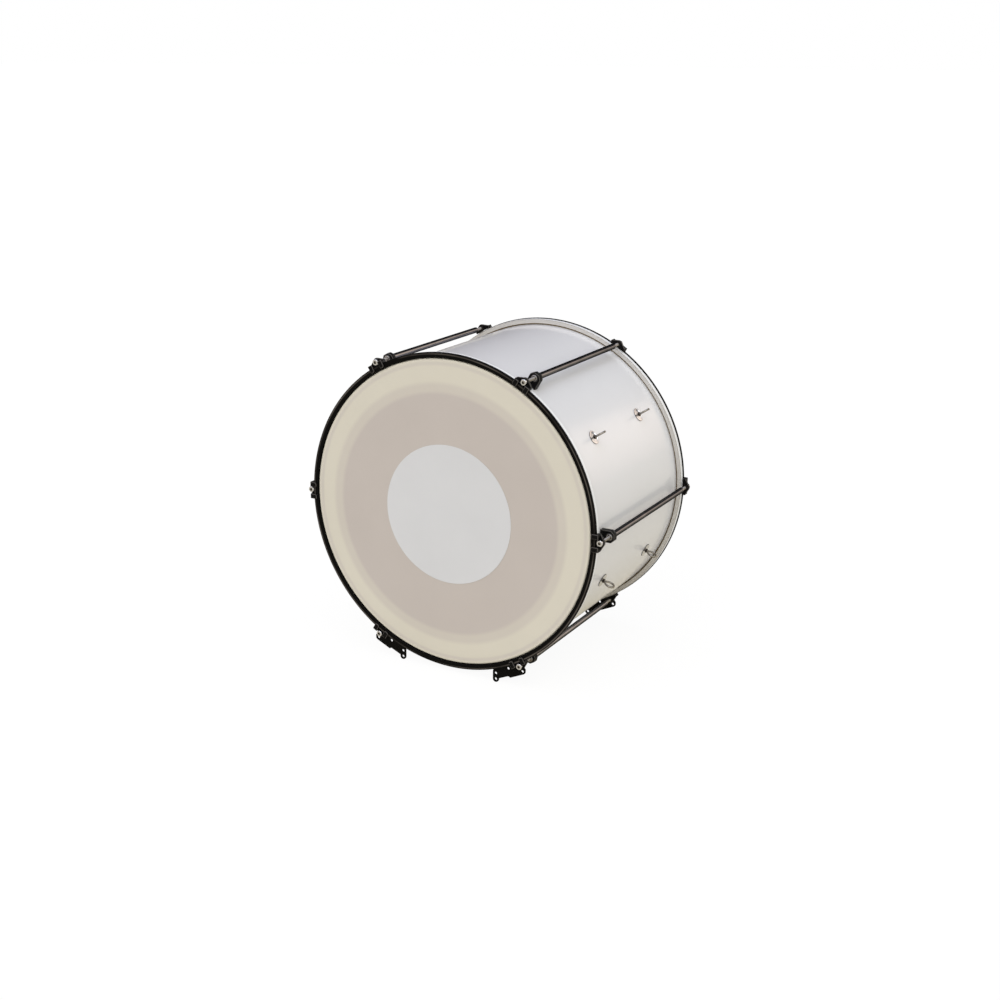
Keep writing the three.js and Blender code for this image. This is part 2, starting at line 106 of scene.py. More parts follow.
def linear(red, green, blue):
    """A colour written as 0 to 255 on a screen, as the shaders take it"""
    def channel(value):
        share = value / 255
        return share / 12.92 if share <= 0.04045 else ((share + 0.055) / 1.055) ** 2.4
    return tuple(channel(value) for value in (red, green, blue))


def length(name, description, default):
    return FloatProperty(name=name, description=description, default=default, min=0.0,
                         unit="LENGTH", precision=4)


def colour(name, description, red, green, blue):
    return FloatVectorProperty(name=name, description=description, subtype="COLOR", size=3,
                               min=0.0, max=1.0, default=linear(red, green, blue))


class DrumSizes(bpy.types.PropertyGroup):
    """Sizes of the drum's pieces. The frame gives those that it can."""
    axis_height: length("Axis height", "Height of the drum's axis above the floor", height_of_axis())
    shell_radius: length("Shell radius", "Outer radius of the shell", width_of("shell"))
    shell_wall: length("Shell wall", "Thickness of the plywood", 7 * MM)
    shell_crest: length("Crest", "Distance of a bearing edge's crest from the middle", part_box("shell")[1].y)
    crest_inset: length("Crest inset", "How far the crest lies inside the shell's outer face", 2.5 * MM)
    film_face: length("Film face", "Distance of the playing face from the middle", out_of("head_film_front")[1])
    film_skirt: length("Film skirt", "Distance of the collar's end from the middle", out_of("head_film_front")[0])
    film_radius: length("Film radius", "Radius of the collar's skirt", width_of("head_film_front"))
    film_thickness: length("Film thickness", "Thickness of the head", 0.4 * MM)
    dot_radius: length("Dot radius", "Radius of the dot on the head", width_of("head_dot_front"))
    flesh_radius: length("Flesh hoop radius", "Outer radius of the flesh hoop", width_of("flesh_hoop_front"))
    flesh_width: length("Flesh hoop width", "Width of the flesh hoop across the shell", 10.9 * MM)
    # The dark strip is painted shade, for the shadow in the gap between flesh hoop and shell.
    shade_strip_width: length("Flesh hoop seal", "Width of the dark strip between flesh hoop and shell", 2.2 * MM)
    hoop_radius: length("Hoop radius", "Outer radius of the counter hoop", width_of("counter_hoop_front"))
    hoop_width: length("Hoop width", "Width of the counter hoop's flat face", 10.7 * MM)
    hoop_round: length("Hoop round", "Rounding of the counter hoop's edges", 1.6 * MM)
    lug_circle: length("Lug circle", "Distance from the axis to the tension tubes", lug_circle())
    tube_radius: length("Tube radius", "Outer radius of the tension tubes", 6 * MM)
    tube_wall: length("Tube wall", "Wall of the tension tubes", 1.2 * MM)
    bolt_radius: length("Bolt radius", "Radius of the tension bolts' thread", 3 * MM)
    bolt_pitch: length("Bolt pitch", "Pitch of the tension bolts' thread", 1 * MM)
    bolt_head: length("Bolt head", "Radius of the tension bolts' heads", 6 * MM)
    socket_radius: length("Socket", "Radius of the hexagonal sockets", 3.2 * MM)
    boss_radius: length("Claw boss", "Radius of the claws' bosses", 8 * MM)
    finger_offset: length("Finger offset", "Distance of a claw's fingers from its middle", 12.5 * MM)
    finger_width: length("Finger width", "Width of a claw's fingers", 10 * MM)
    finger_reach: length("Finger reach", "How far a claw's fingers reach in over the hoop", 9 * MM)
    bracket_plate: length("Bracket plate", "Thickness of the floor brackets", 3 * MM)
    bracket_hole: length("Bracket hole", "Radius of the holes in the floor brackets", 2.9 * MM)
    eye_ring: length("Eye ring", "Radius of an eye's ring, to the middle of its wire", 8.6 * MM)
    eye_wire: length("Eye wire", "Radius of an eye's wire", 2 * MM)
    rosette_radius: length("Rosette radius", "Radius of the washers under the eyes", 13.5 * MM)
    round_steps: IntProperty(name="Steps", description="Steps round the drum", default=192, min=48)


class DrumColours(bpy.types.PropertyGroup):
    """Colours of the drum's finishes"""
    shell: colour("Shell", "White gloss film on the shell", 222, 220, 219)
    ply: colour("Ply", "Birch inside the shell", 196, 158, 108)
    film: colour("Film", "Middle of the head", 193, 183, 173)
    film_ring: colour("Ring", "Head over its damping ring", 213, 206, 188)
    # This colour is painted shade: a darker band on the head just inside the bearing edge.
    film_crest_shade: colour("Fold", "Fold of the head near the hoop", 204, 196, 182)
    dot: colour("Dot", "Dot in the middle of the head", 211, 210, 208)
    felt: colour("Felt", "Damping rings behind the heads", 214, 206, 186)
    aluminium: colour("Aluminium", "Flesh hoops", 211, 207, 201)
    # This colour is a painted highlight: a brighter copy of the aluminium on the flesh hoops' outer face.
    rim: colour("Rim", "Outer face of the flesh hoops", 232, 231, 229)
    hoop: colour("Hoop", "Black enamel of the counter hoops", 10, 9, 8)
    claw: colour("Claw", "Black finish of the cast claws", 9, 8, 8)
    # This colour is a painted highlight on the rounded edges of the claws and standoffs.
    painted_highlight: colour("Worn", "Worn edges of the claws and standoffs", 76, 72, 68)
    bracket: colour("Bracket", "Black finish of the floor brackets", 8, 7, 6)
    nickel: colour("Nickel", "Bolt heads and rosettes", 205, 205, 208)
    eye_nickel: colour("Eye nickel", "Eyes for the strap", 152, 146, 138)
    shaft: colour("Shaft", "Shafts of the tension bolts", 142, 135, 128)
    # This darker steel is painted shade in the bolts' sockets and round the rosettes' rims; the eyes' bases take it
    # too.
    socket: colour("Socket", "Oiled steel in the bolts' sockets", 58, 52, 48)
    black_nickel: colour("Black nickel", "Tension tubes", 132, 131, 133)
    insert: colour("Insert", "Threaded inserts in the tubes", 182, 176, 170)
    nylon: colour("Nylon", "Standoffs", 9, 8, 8)
    # This colour is painted shade: the dark strip stands for the shadow in the gap between flesh hoop and shell.
    gap_shade_colour: colour("Rubber", "Strips between the flesh hoops and the shell", 118, 102, 76)


class DrumStudio(bpy.types.PropertyGroup):
    """Camera and floor"""
    azimuth: FloatProperty(name="Azimuth", description="Camera's turn from the head's front towards its right",
                           default=math.radians(29.354), subtype="ANGLE")
    elevation: FloatProperty(name="Elevation", description="Camera's tilt above the level",
                             default=math.radians(17.707), subtype="ANGLE")
    roll: FloatProperty(name="Roll", description="Camera's turn about its own line of sight",
                        default=math.radians(0.490), subtype="ANGLE")
    place: FloatVectorProperty(name="Place", description="Camera's place, from the drum's middle",
                               default=(1.388712, -2.471366, 0.878718), subtype="TRANSLATION")
    lens: FloatProperty(name="Lens", description="Focal length in millimetres on a 36 mm sensor",
                        default=52.326)
    floor: colour("Floor", "Studio floor, as it lights the drum from below", 206, 203, 196)
    floor_radius: length("Floor radius", "Radius of the studio floor", 60.0)


def sizes():
    return bpy.context.scene.drum_sizes


def colours():
    return bpy.context.scene.drum_colours


# Placing and finishing pieces

def placed(end, angle=0.0):
    """Where a piece that is made for the front end, at the top, belongs on the drum"""
    lift = Matrix.Translation((0, 0, sizes().axis_height))
    if end == "rear":
        return lift @ Matrix.Rotation(math.pi, 4, "Z") @ Matrix.Rotation(-angle, 4, "Y")
    return lift @ Matrix.Rotation(angle, 4, "Y")


def lug_angle(lug):
    return FIRST_LUG + (lug - 1) * 2 * math.pi / LUG_COUNT


def smoothed(bm, crease=32):
    """Shades a mesh smoothly, apart from its creases"""
    for face in bm.faces:
        face.smooth = True
    for edge in bm.edges:
        edge.smooth = edge.calc_face_angle(math.pi) < math.radians(crease)


def closed(bm):
    """Closes seams and poles, and turns the faces outwards"""
    bmesh.ops.remove_doubles(bm, verts=bm.verts, dist=2e-6)
    bmesh.ops.recalc_face_normals(bm, faces=bm.faces)
    return bm


def finished(name, bm, matrix, materials, body, slot, *nodes):
    """Makes a piece of a mesh, at its place on the drum, and gives it to its body"""
    smoothed(bm)
    mesh = bpy.data.meshes.new(name)
    bm.to_mesh(mesh)
    mesh.transform(matrix)
    for material in materials:
        mesh.materials.append(material)
    piece = bpy.data.objects.new(name, mesh)
    bpy.context.scene.collection.objects.link(piece)
    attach(piece, body)
    if nodes:
        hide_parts(*nodes)
    return piece


def mark_edge_highlights(bm):
    """Gives the rounded edges round a piece's front and back its second finish, a paler black painted as a highlight"""
    for face in bm.faces:
        face.material_index = 1 if 0.2 < abs(face.normal.y) < 0.97 else 0
    return bm


def sharp_edges(bm, angle=35):
    return [e for e in bm.edges if e.calc_face_angle(0.0) > math.radians(angle)]


def eased(bm, edges, width, steps=2):
    """Rounds edges"""
    bmesh.ops.bevel(bm, geom=edges, offset=width, segments=steps, profile=0.5,
                    affect="EDGES", clamp_overlap=True, material=-1)
    return bm


def edges_near(bm, test):
    """Edges whose two ends both pass a test of their place"""
    return [e for e in bm.edges if all(test(v.co) for v in e.verts)]


# Shapes

def turned(profile, steps, centre=0.0, ring=True):
    """Turns a profile of (radius, out) about a line along the drum's axis, centre above it"""
    bm = bmesh.new()
    verts = [bm.verts.new((0, -out, centre + radius)) for radius, out in profile]
    edges = [bm.edges.new(pair) for pair in zip(verts, verts[1:])]
    if ring:
        edges.append(bm.edges.new((verts[-1], verts[0])))
    bmesh.ops.spin(bm, geom=verts + edges, cent=(0, 0, centre), axis=(0, 1, 0),
                   angle=2 * math.pi, steps=steps, use_merge=True)
    return closed(bm)


def turned_outwards(profile, steps, ring=False):
    """Turns a profile of (radius, height) about a line that runs outwards from the shell"""
    bm = bmesh.new()
    verts = [bm.verts.new((radius, 0, height)) for radius, height in profile]
    edges = [bm.edges.new(pair) for pair in zip(verts, verts[1:])]
    if ring:
        edges.append(bm.edges.new((verts[-1], verts[0])))
    bmesh.ops.spin(bm, geom=verts + edges, cent=(0, 0, 0), axis=(0, 0, 1),
                   angle=2 * math.pi, steps=steps, use_merge=True)
    return closed(bm)


def circle(across, up, radius, steps=32):
    turns = [2 * math.pi * step / steps for step in range(steps)]
    return [(across + radius * math.cos(t), up + radius * math.sin(t)) for t in turns]


def arc(across, up, radius, first, last, steps):
    turns = [first + (last - first) * step / steps for step in range(steps + 1)]
    return [(across + radius * math.cos(t), up + radius * math.sin(t)) for t in turns]


def plate(outline, holes, near, far):
    """A plate from its outline of (across, up) points and its holes, between two places along the axis"""
    bm = bmesh.new()
    for loop in (outline, *holes):
        verts = [bm.verts.new((across, -near, up)) for across, up in loop]
        for pair in zip(verts, verts[1:] + verts[:1]):
            bm.edges.new(pair)
    filled = bmesh.ops.triangle_fill(bm, use_beauty=True, edges=bm.edges)
    faces = [g for g in filled["geom"] if isinstance(g, bmesh.types.BMFace)]
    grown = bmesh.ops.extrude_face_region(bm, geom=faces)
    moved = [g for g in grown["geom"] if isinstance(g, bmesh.types.BMVert)]
    bmesh.ops.translate(bm, verts=moved, vec=(0, near - far, 0))
    return closed(bm)


def cylinder_along(radius, centre, near, far, steps=48):
    """A closed cylinder along the axis"""
    bm = bmesh.new()
    lay = Matrix.Translation((0, -(near + far) / 2, centre)) @ Matrix.Rotation(math.pi / 2, 4, "X")
    bmesh.ops.create_cone(bm, cap_ends=True, segments=steps, radius1=radius, radius2=radius,
                          depth=far - near, matrix=lay)
    return closed(bm)


def carved(bm, other, operation="DIFFERENCE"):
    """Joins one closed mesh to another, or cuts it with the other"""
    pair = []
    for name, part in (("whole", bm), ("tool", other)):
        mesh = bpy.data.meshes.new(name)
        part.to_mesh(mesh)
        part.free()
        pair.append(bpy.data.objects.new(name, mesh))
        bpy.context.scene.collection.objects.link(pair[-1])
    whole, tool = pair
    cut = whole.modifiers.new("Cut", "BOOLEAN")
    cut.operation = operation
    cut.solver = "EXACT"
    cut.object = tool
    result = bmesh.new()
    result.from_object(whole, bpy.context.evaluated_depsgraph_get())
    for part in pair:
        mesh = part.data
        bpy.data.objects.remove(part)
        bpy.data.meshes.remove(mesh)
    if not result.faces:
        raise RuntimeError("a cut left nothing of the piece")
    return closed(result)


# Shared effects

def group_tree(name, inputs, outputs):
    tree = bpy.data.node_groups.new(name, "ShaderNodeTree")
    for label, default in inputs:
        socket = tree.interface.new_socket(name=label, in_out="INPUT", socket_type="NodeSocketFloat")
        socket.default_value = default
    for label, kind in outputs:
        tree.interface.new_socket(name=label, in_out="OUTPUT", socket_type=kind)
    return tree, tree.nodes.new("NodeGroupInput"), tree.nodes.new("NodeGroupOutput")


def added(tree, kind, values=(), **settings):
    """Adds a node with its settings and its sockets' values or links"""
    node = tree.nodes.new(kind)
    for key, value in settings.items():
        setattr(node, key, value)
    for key, value in dict(values).items():
        if isinstance(value, bpy.types.NodeSocket):
            tree.links.new(value, node.inputs[key])
        else:
            node.inputs[key].default_value = value
    return node


def math_node(tree, operation, first, second=0.0, clamp=False):
    return added(tree, "ShaderNodeMath", {0: first, 1: second}, operation=operation,
                 use_clamp=clamp).outputs[0]


def grain_group():
    """Fine grain: a height for bumps and a slow patchy mask"""
    if "Fine Grain" in bpy.data.node_groups:
        return bpy.data.node_groups["Fine Grain"]
    tree, given, result = group_tree(
        "Fine Grain", [("Grain Scale", 900.0), ("Patch Scale", 14.0)],
        [("Height", "NodeSocketFloat"), ("Patches", "NodeSocketFloat")])
    place = tree.nodes.new("ShaderNodeTexCoord").outputs["Object"]
    fine = added(tree, "ShaderNodeTexNoise",
                 {"Vector": place, "Scale": given.outputs["Grain Scale"], "Detail": 3.0, "Roughness": 0.6})
    slow = added(tree, "ShaderNodeTexNoise",
                 {"Vector": place, "Scale": given.outputs["Patch Scale"], "Detail": 5.0, "Roughness": 0.55})
    tree.links.new(fine.outputs[0], result.inputs["Height"])
    tree.links.new(slow.outputs[0], result.inputs["Patches"])
    return tree


def scuff_group():
    """Scuffs: thin scratches that cross one another, as a mask from 0 to 1"""
    if "Scuffs" in bpy.data.node_groups:
        return bpy.data.node_groups["Scuffs"]
    tree, given, result = group_tree(
        "Scuffs", [("Scratch Scale", 60.0), ("Cover", 0.5)], [("Mask", "NodeSocketFloat")])
    place = tree.nodes.new("ShaderNodeTexCoord").outputs["Object"]
    lines = []
    for turn, stretch in ((0.5, (1, 14, 1)), (1.9, (14, 1, 9))):
        turned_place = added(tree, "ShaderNodeMapping", {"Vector": place, "Rotation": (turn, turn, 0.3),
                                                         "Scale": stretch})
        noise = added(tree, "ShaderNodeTexNoise", {"Vector": turned_place.outputs[0],
                                                   "Scale": given.outputs["Scratch Scale"],
                                                   "Detail": 2.0, "Distortion": 0.2})
        away = math_node(tree, "ABSOLUTE", math_node(tree, "SUBTRACT", noise.outputs[0], 0.5))
        thin = added(tree, "ShaderNodeMapRange", {"Value": away, "From Min": 0.0, "From Max": 0.012,
                                                  "To Min": 1.0, "To Max": 0.0})
        lines.append(thin.outputs[0])
    both = math_node(tree, "MAXIMUM", lines[0], lines[1])
    where = added(tree, "ShaderNodeTexNoise", {"Vector": place, "Scale": 22.0, "Detail": 2.0})
    shown = added(tree, "ShaderNodeMapRange", {"Value": where.outputs[0],
                                               "From Min": math_node(tree, "SUBTRACT", 1.0, given.outputs["Cover"]),
                                               "From Max": 1.0})
    tree.links.new(math_node(tree, "MULTIPLY", both, shown.outputs[0]), result.inputs["Mask"])
    return tree


def turned_group():
    """Marks of turning and polishing that run round the drum's axis"""
    if "Turned Marks" in bpy.data.node_groups:
        return bpy.data.node_groups["Turned Marks"]
    tree, given, result = group_tree(
        "Turned Marks", [("Axis Height", 0.326), ("Mark Scale", 900.0)],
        [("Height", "NodeSocketFloat"), ("Angle", "NodeSocketFloat"), ("Radius", "NodeSocketFloat")])
    place = tree.nodes.new("ShaderNodeTexCoord").outputs["Object"]
    parts = added(tree, "ShaderNodeSeparateXYZ", {0: place})
    above = math_node(tree, "SUBTRACT", parts.outputs["Z"], given.outputs["Axis Height"])
    angle = math_node(tree, "ARCTAN2", parts.outputs["X"], above)
    square = math_node(tree, "ADD", math_node(tree, "MULTIPLY", parts.outputs["X"], parts.outputs["X"]),
                       math_node(tree, "MULTIPLY", above, above))
    radius = math_node(tree, "SQRT", square)
    wide = added(tree, "ShaderNodeCombineXYZ", {
        0: math_node(tree, "SINE", angle), 1: math_node(tree, "COSINE", angle),
        2: math_node(tree, "MULTIPLY", math_node(tree, "ADD", radius, parts.outputs["Y"]),
                     given.outputs["Mark Scale"])})
    lines = added(tree, "ShaderNodeTexNoise", {"Vector": wide.outputs[0], "Scale": 1.6, "Detail": 4.0,
                                               "Roughness": 0.65})
    tree.links.new(lines.outputs[0], result.inputs["Height"])
    tree.links.new(angle, result.inputs["Angle"])
    tree.links.new(radius, result.inputs["Radius"])
    return tree


def used(tree, group, **values):
    """Places a shared effect in a material with its own values"""
    node = tree.nodes.new("ShaderNodeGroup")
    node.node_tree = group
    for label, value in values.items():
        node.inputs[label.replace("_", " ")].default_value = value
    return node


# Finishes

def new_finish(name, metallic=0.0, **sockets):
    """A material with its Principled shader's plain values"""
    material = bpy.data.materials.new(name)
    material.use_nodes = True
    shader = material.node_tree.nodes["Principled BSDF"]
    shader.inputs["Metallic"].default_value = metallic
    for label, value in sockets.items():
        shader.inputs[label.replace("_", " ")].default_value = value
    return material, material.node_tree, shader


def shades(tree, shader, mask, base, low=0.94, high=1.04, span=(0.3, 0.7)):
    """Varies a base colour over the surface with a mask, from low to high shares of it"""
    def share(amount):
        return (*(min(1.0, channel * amount) for channel in base), 1.0)
    ramp = added(tree, "ShaderNodeValToRGB", {0: mask})
    ramp.color_ramp.elements[0].position, ramp.color_ramp.elements[1].position = span
    ramp.color_ramp.elements[0].color = share(low)
    ramp.color_ramp.elements[1].color = share(high)
    tree.links.new(ramp.outputs[0], shader.inputs["Base Color"])
    return ramp


def ranged(tree, socket, mask, low, high, start=0.3, end=0.7):
    """Maps a mask on to a shader's socket"""
    spread = added(tree, "ShaderNodeMapRange", {"Value": mask, "From Min": start, "From Max": end,
                                                "To Min": low, "To Max": high})
    tree.links.new(spread.outputs[0], socket)
    return spread.outputs[0]


def bumped(tree, shader, height, strength, distance):
    bump = added(tree, "ShaderNodeBump", {"Height": height, "Strength": strength, "Distance": distance})
    tree.links.new(bump.outputs[0], shader.inputs["Normal"])


def finish_once(name, make):
    """A finish that several pieces share, made when the first of them asks for it"""
    return bpy.data.materials.get(name) or make(name)


def shell_film(name):
    """White gloss film with a faint orange peel"""
    material, tree, shader = new_finish(name, Coat_Roughness=0.12, Coat_IOR=1.5, Specular_IOR_Level=0.35)
    grain = used(tree, grain_group(), Grain_Scale=210.0, Patch_Scale=6.0)
    marks = used(tree, scuff_group(), Scratch_Scale=18.0, Cover=0.42)
    shades(tree, shader, grain.outputs["Patches"], colours().shell, 0.985, 1.01)
    ranged(tree, shader.inputs["Coat Weight"], marks.outputs["Mask"], 0.75, 0.4, 0.0, 1.0)
    ranged(tree, shader.inputs["Roughness"], grain.outputs["Patches"], 0.3, 0.38)
    bumped(tree, shader, grain.outputs["Height"], 0.05, 0.15 * MM)
    return material


def shell_ply(name):
    """Birch ply inside the shell, with its grain round the drum"""
    material, tree, shader = new_finish(name, Specular_IOR_Level=0.3)
    grain = used(tree, turned_group(), Axis_Height=sizes().axis_height, Mark_Scale=90.0)
    patches = used(tree, grain_group(), Grain_Scale=600.0, Patch_Scale=9.0)
    shades(tree, shader, grain.outputs["Height"], colours().ply, 0.78, 1.08)
    ranged(tree, shader.inputs["Roughness"], patches.outputs["Patches"], 0.5, 0.66)
    bumped(tree, shader, grain.outputs["Height"], 0.2, 0.2 * MM)
    return material


def head_skin(name):
    """Coated film: tan in the middle, cream over its damping ring, with a darker band of painted shade near the hoop,
    just inside the bearing edge
    """
    material, tree, shader = new_finish(name, Specular_IOR_Level=0.35)
    rings = used(tree, turned_group(), Axis_Height=sizes().axis_height - 2.5 * MM, Mark_Scale=60.0)
    place = tree.nodes.new("ShaderNodeTexCoord").outputs["Object"]
    centred = added(tree, "ShaderNodeMapping", {
        "Vector": place, "Location": (3.5 * MM, 0, 2.5 * MM - sizes().axis_height), "Scale": (1, 0, 1)})
    offset_radius = added(tree, "ShaderNodeVectorMath", {0: centred.outputs[0]}, operation="LENGTH")
    true_place = added(tree, "ShaderNodeMapping", {
        "Vector": place, "Location": (0, 0, -sizes().axis_height), "Scale": (1, 0, 1)})
    true_radius = added(tree, "ShaderNodeVectorMath", {0: true_place.outputs[0]}, operation="LENGTH")
    edge = sizes().film_radius
    zones = added(tree, "ShaderNodeValToRGB", {
        0: math_node(tree, "DIVIDE", offset_radius.outputs["Value"], edge)})
    ramp = zones.color_ramp
    tan, cream, crest_shade = colours().film, colours().film_ring, colours().film_crest_shade
    between = tuple(t + (c - t) * 0.5 for t, c in zip(tan, cream))
    stops = ((0.0, tan), (0.775, tan), (0.8, between), (0.835, between), (0.862, cream))
    while len(ramp.elements) < len(stops):
        ramp.elements.new(0.5)
    for element, (position, shade) in zip(ramp.elements, stops):
        element.position = position
        element.color = (*shade, 1.0)
    # A band of painted shade just inside the bearing edge, in the darker colour.
    crest_shade_band = added(tree, "ShaderNodeValToRGB", {
        0: math_node(tree, "DIVIDE", true_radius.outputs["Value"], edge)})
    crest_shade_stops = ((0.945, 0.0), (0.958, 1.0), (0.968, 1.0), (0.978, 0.0))
    while len(crest_shade_band.color_ramp.elements) < len(crest_shade_stops):
        crest_shade_band.color_ramp.elements.new(0.5)
    for element, (position, value) in zip(crest_shade_band.color_ramp.elements, crest_shade_stops):
        element.position = position
        element.color = (value, value, value, 1.0)
    crest_shaded = added(tree, "ShaderNodeMix", {0: crest_shade_band.outputs[0], 6: zones.outputs[0], 7: (*crest_shade, 1.0)},
                   data_type="RGBA")
    grain = used(tree, grain_group(), Grain_Scale=1500.0, Patch_Scale=9.0)
    marks = used(tree, scuff_group(), Scratch_Scale=25.0, Cover=0.4)
    tone = added(tree, "ShaderNodeMapRange", {"Value": grain.outputs["Patches"], "From Min": 0.3,
                                              "From Max": 0.7, "To Min": 0.985, "To Max": 1.015})
    toned = added(tree, "ShaderNodeMix", {0: 1.0, 6: crest_shaded.outputs[2], 7: tone.outputs[0]},
                  data_type="RGBA", blend_type="MULTIPLY")
    tree.links.new(toned.outputs[2], shader.inputs["Base Color"])
    ranged(tree, shader.inputs["Roughness"], grain.outputs["Patches"], 0.42, 0.52)
    height = math_node(tree, "ADD", grain.outputs["Height"],
                       math_node(tree, "MULTIPLY", marks.outputs["Mask"], -0.8))
    bumped(tree, shader, height, 0.12, 0.06 * MM)
    return material


def dot_skin(name):
    """Satin film of the dot, a little cleaner than the head round it"""
    material, tree, shader = new_finish(name, Specular_IOR_Level=0.4)
    grain = used(tree, grain_group(), Grain_Scale=1800.0, Patch_Scale=11.0)
    marks = used(tree, scuff_group(), Scratch_Scale=30.0, Cover=0.45)
    shades(tree, shader, grain.outputs["Patches"], colours().dot, 0.985, 1.015)
    ranged(tree, shader.inputs["Roughness"], marks.outputs["Mask"], 0.4, 0.55, 0.0, 1.0)
    bumped(tree, shader, grain.outputs["Height"], 0.1, 0.05 * MM)
    return material


def ring_felt(name):
    """Pressed felt of the damping rings"""
    material, tree, shader = new_finish(name, Sheen_Weight=0.35, Sheen_Roughness=0.5,
                                        Specular_IOR_Level=0.1)
    grain = used(tree, grain_group(), Grain_Scale=2200.0, Patch_Scale=60.0)
    shades(tree, shader, grain.outputs["Height"], colours().felt, 0.8, 1.05)
    ranged(tree, shader.inputs["Roughness"], grain.outputs["Patches"], 0.85, 0.98)
    bumped(tree, shader, grain.outputs["Height"], 0.6, 0.3 * MM)
    return material


def hoop_aluminium(name):
    """Aluminium channel, brushed round the drum"""
    material, tree, shader = new_finish(name, metallic=0.4, Anisotropic=0.4)
    marks = used(tree, turned_group(), Axis_Height=sizes().axis_height, Mark_Scale=1400.0)
    patches = used(tree, grain_group(), Grain_Scale=900.0, Patch_Scale=10.0)
    shades(tree, shader, marks.outputs["Height"], colours().aluminium, 0.9, 1.05)
    ranged(tree, shader.inputs["Roughness"], patches.outputs["Patches"], 0.38, 0.5)
    bumped(tree, shader, marks.outputs["Height"], 0.12, 0.05 * MM)
    return material


def painted_rim_highlight(name):
    """Outer face of the aluminium channel, brighter and not metallic: a painted highlight along the hoop"""
    material, tree, shader = new_finish(name, Specular_IOR_Level=0.5)
    marks = used(tree, turned_group(), Axis_Height=sizes().axis_height, Mark_Scale=1400.0)
    patches = used(tree, grain_group(), Grain_Scale=900.0, Patch_Scale=10.0)
    shades(tree, shader, marks.outputs["Height"], colours().rim, 0.95, 1.03)
    ranged(tree, shader.inputs["Roughness"], patches.outputs["Patches"], 0.3, 0.42)
    bumped(tree, shader, marks.outputs["Height"], 0.1, 0.05 * MM)
    return material


def black_enamel(name, base, grain_scale, roughness, depth, specular):
    """Black finishes, which differ in grain and gloss"""
    material, tree, shader = new_finish(name, Specular_IOR_Level=specular)
    grain = used(tree, grain_group(), Grain_Scale=grain_scale, Patch_Scale=26.0)
    marks = used(tree, scuff_group(), Scratch_Scale=70.0, Cover=0.5)
    shades(tree, shader, marks.outputs["Mask"], base, 1.0, 2.4, (0.0, 1.0))
    ranged(tree, shader.inputs["Roughness"], grain.outputs["Patches"], roughness, roughness + 0.12)
    bumped(tree, shader, grain.outputs["Height"], 0.25, depth)
    return material


def hoop_black(name):
    """Black enamel, a little paler along a line on the hoop's face, painted there as a highlight"""
    material = black_enamel(name, colours().hoop, 700.0, 0.3, 0.04 * MM, 0.04)
    tree, shader = material.node_tree, material.node_tree.nodes["Principled BSDF"]
    place = used(tree, turned_group(), Axis_Height=sizes().axis_height, Mark_Scale=500.0)
    # A paler line 3 mm inside the outer edge, shown in patches, is a painted highlight.
    line = math_node(tree, "SUBTRACT", place.outputs["Radius"], sizes().hoop_radius - 3 * MM)
    near = added(tree, "ShaderNodeMapRange", {"Value": math_node(tree, "ABSOLUTE", line), "From Min": 0.5 * MM,
                                              "From Max": 1.7 * MM, "To Min": 1.0, "To Max": 0.0})
    patches = used(tree, grain_group(), Grain_Scale=700.0, Patch_Scale=7.0)
    shown = added(tree, "ShaderNodeMapRange", {"Value": patches.outputs["Patches"], "From Min": 0.38, "From Max": 0.58})
    painted_highlight = math_node(tree, "MULTIPLY", near.outputs[0], shown.outputs[0])
    enamel = shader.inputs["Base Color"].links[0].from_socket
    with_painted_line = added(tree, "ShaderNodeMix", {0: painted_highlight, 6: enamel, 7: (*linear(84, 78, 71), 1)}, data_type="RGBA")
    tree.links.new(with_painted_line.outputs[2], shader.inputs["Base Color"])
    return material


def claw_black(name):
    return black_enamel(name, colours().claw, 1300.0, 0.3, 0.1 * MM, 0.08)


# A paler black, painted on rounded edges as a highlight.
def painted_edge_highlight(name):
    return black_enamel(name, colours().painted_highlight, 900.0, 0.35, 0.08 * MM, 0.1)


def bracket_black(name):
    return black_enamel(name, colours().bracket, 1000.0, 0.4, 0.08 * MM, 0.05)


def standoff_nylon(name):
    return black_enamel(name, colours().nylon, 1600.0, 0.4, 0.1 * MM, 0.09)


# Dark finish painted as the shadow in the gap between flesh hoop and shell.
def painted_gap_shade(name):
    return black_enamel(name, colours().gap_shade_colour, 1200.0, 0.6, 0.06 * MM, 0.1)


def plated(name, base, roughness, low, high, edge=1.0):
    """Plated metal with faint polishing marks. edge is how much it mirrors at a slant."""
    material, tree, shader = new_finish(name, metallic=1.0, Specular_Tint=(edge, edge, edge, 1.0))
    grain = used(tree, grain_group(), Grain_Scale=1400.0, Patch_Scale=35.0)
    marks = used(tree, scuff_group(), Scratch_Scale=120.0, Cover=0.55)
    shades(tree, shader, grain.outputs["Patches"], base, low, high)
    wear = math_node(tree, "ADD", grain.outputs["Patches"],
                     math_node(tree, "MULTIPLY", marks.outputs["Mask"], 0.5))
    ranged(tree, shader.inputs["Roughness"], wear, roughness, roughness + 0.12, 0.3, 0.9)
    bumped(tree, shader, grain.outputs["Height"], 0.06, 0.03 * MM)
    return material


def bright_nickel(name):
    return plated(name, colours().nickel, 0.14, 0.92, 1.04)


def eye_nickel(name):
    return plated(name, colours().eye_nickel, 0.2, 0.85, 1.1, edge=0.6)


def bolt_shaft(name):
    return plated(name, colours().shaft, 0.25, 0.8, 1.15, edge=0.6)


def black_nickel(name):
    return plated(name, colours().black_nickel, 0.05, 0.85, 1.15, edge=0.05)


# Dark steel, used as painted shade in recesses and round rims.
def dark_steel_painted_shade(name):
    return plated(name, colours().socket, 0.45, 0.7, 1.2, edge=0.3)


def insert_zinc(name):
    return plated(name, colours().insert, 0.3, 0.9, 1.05)


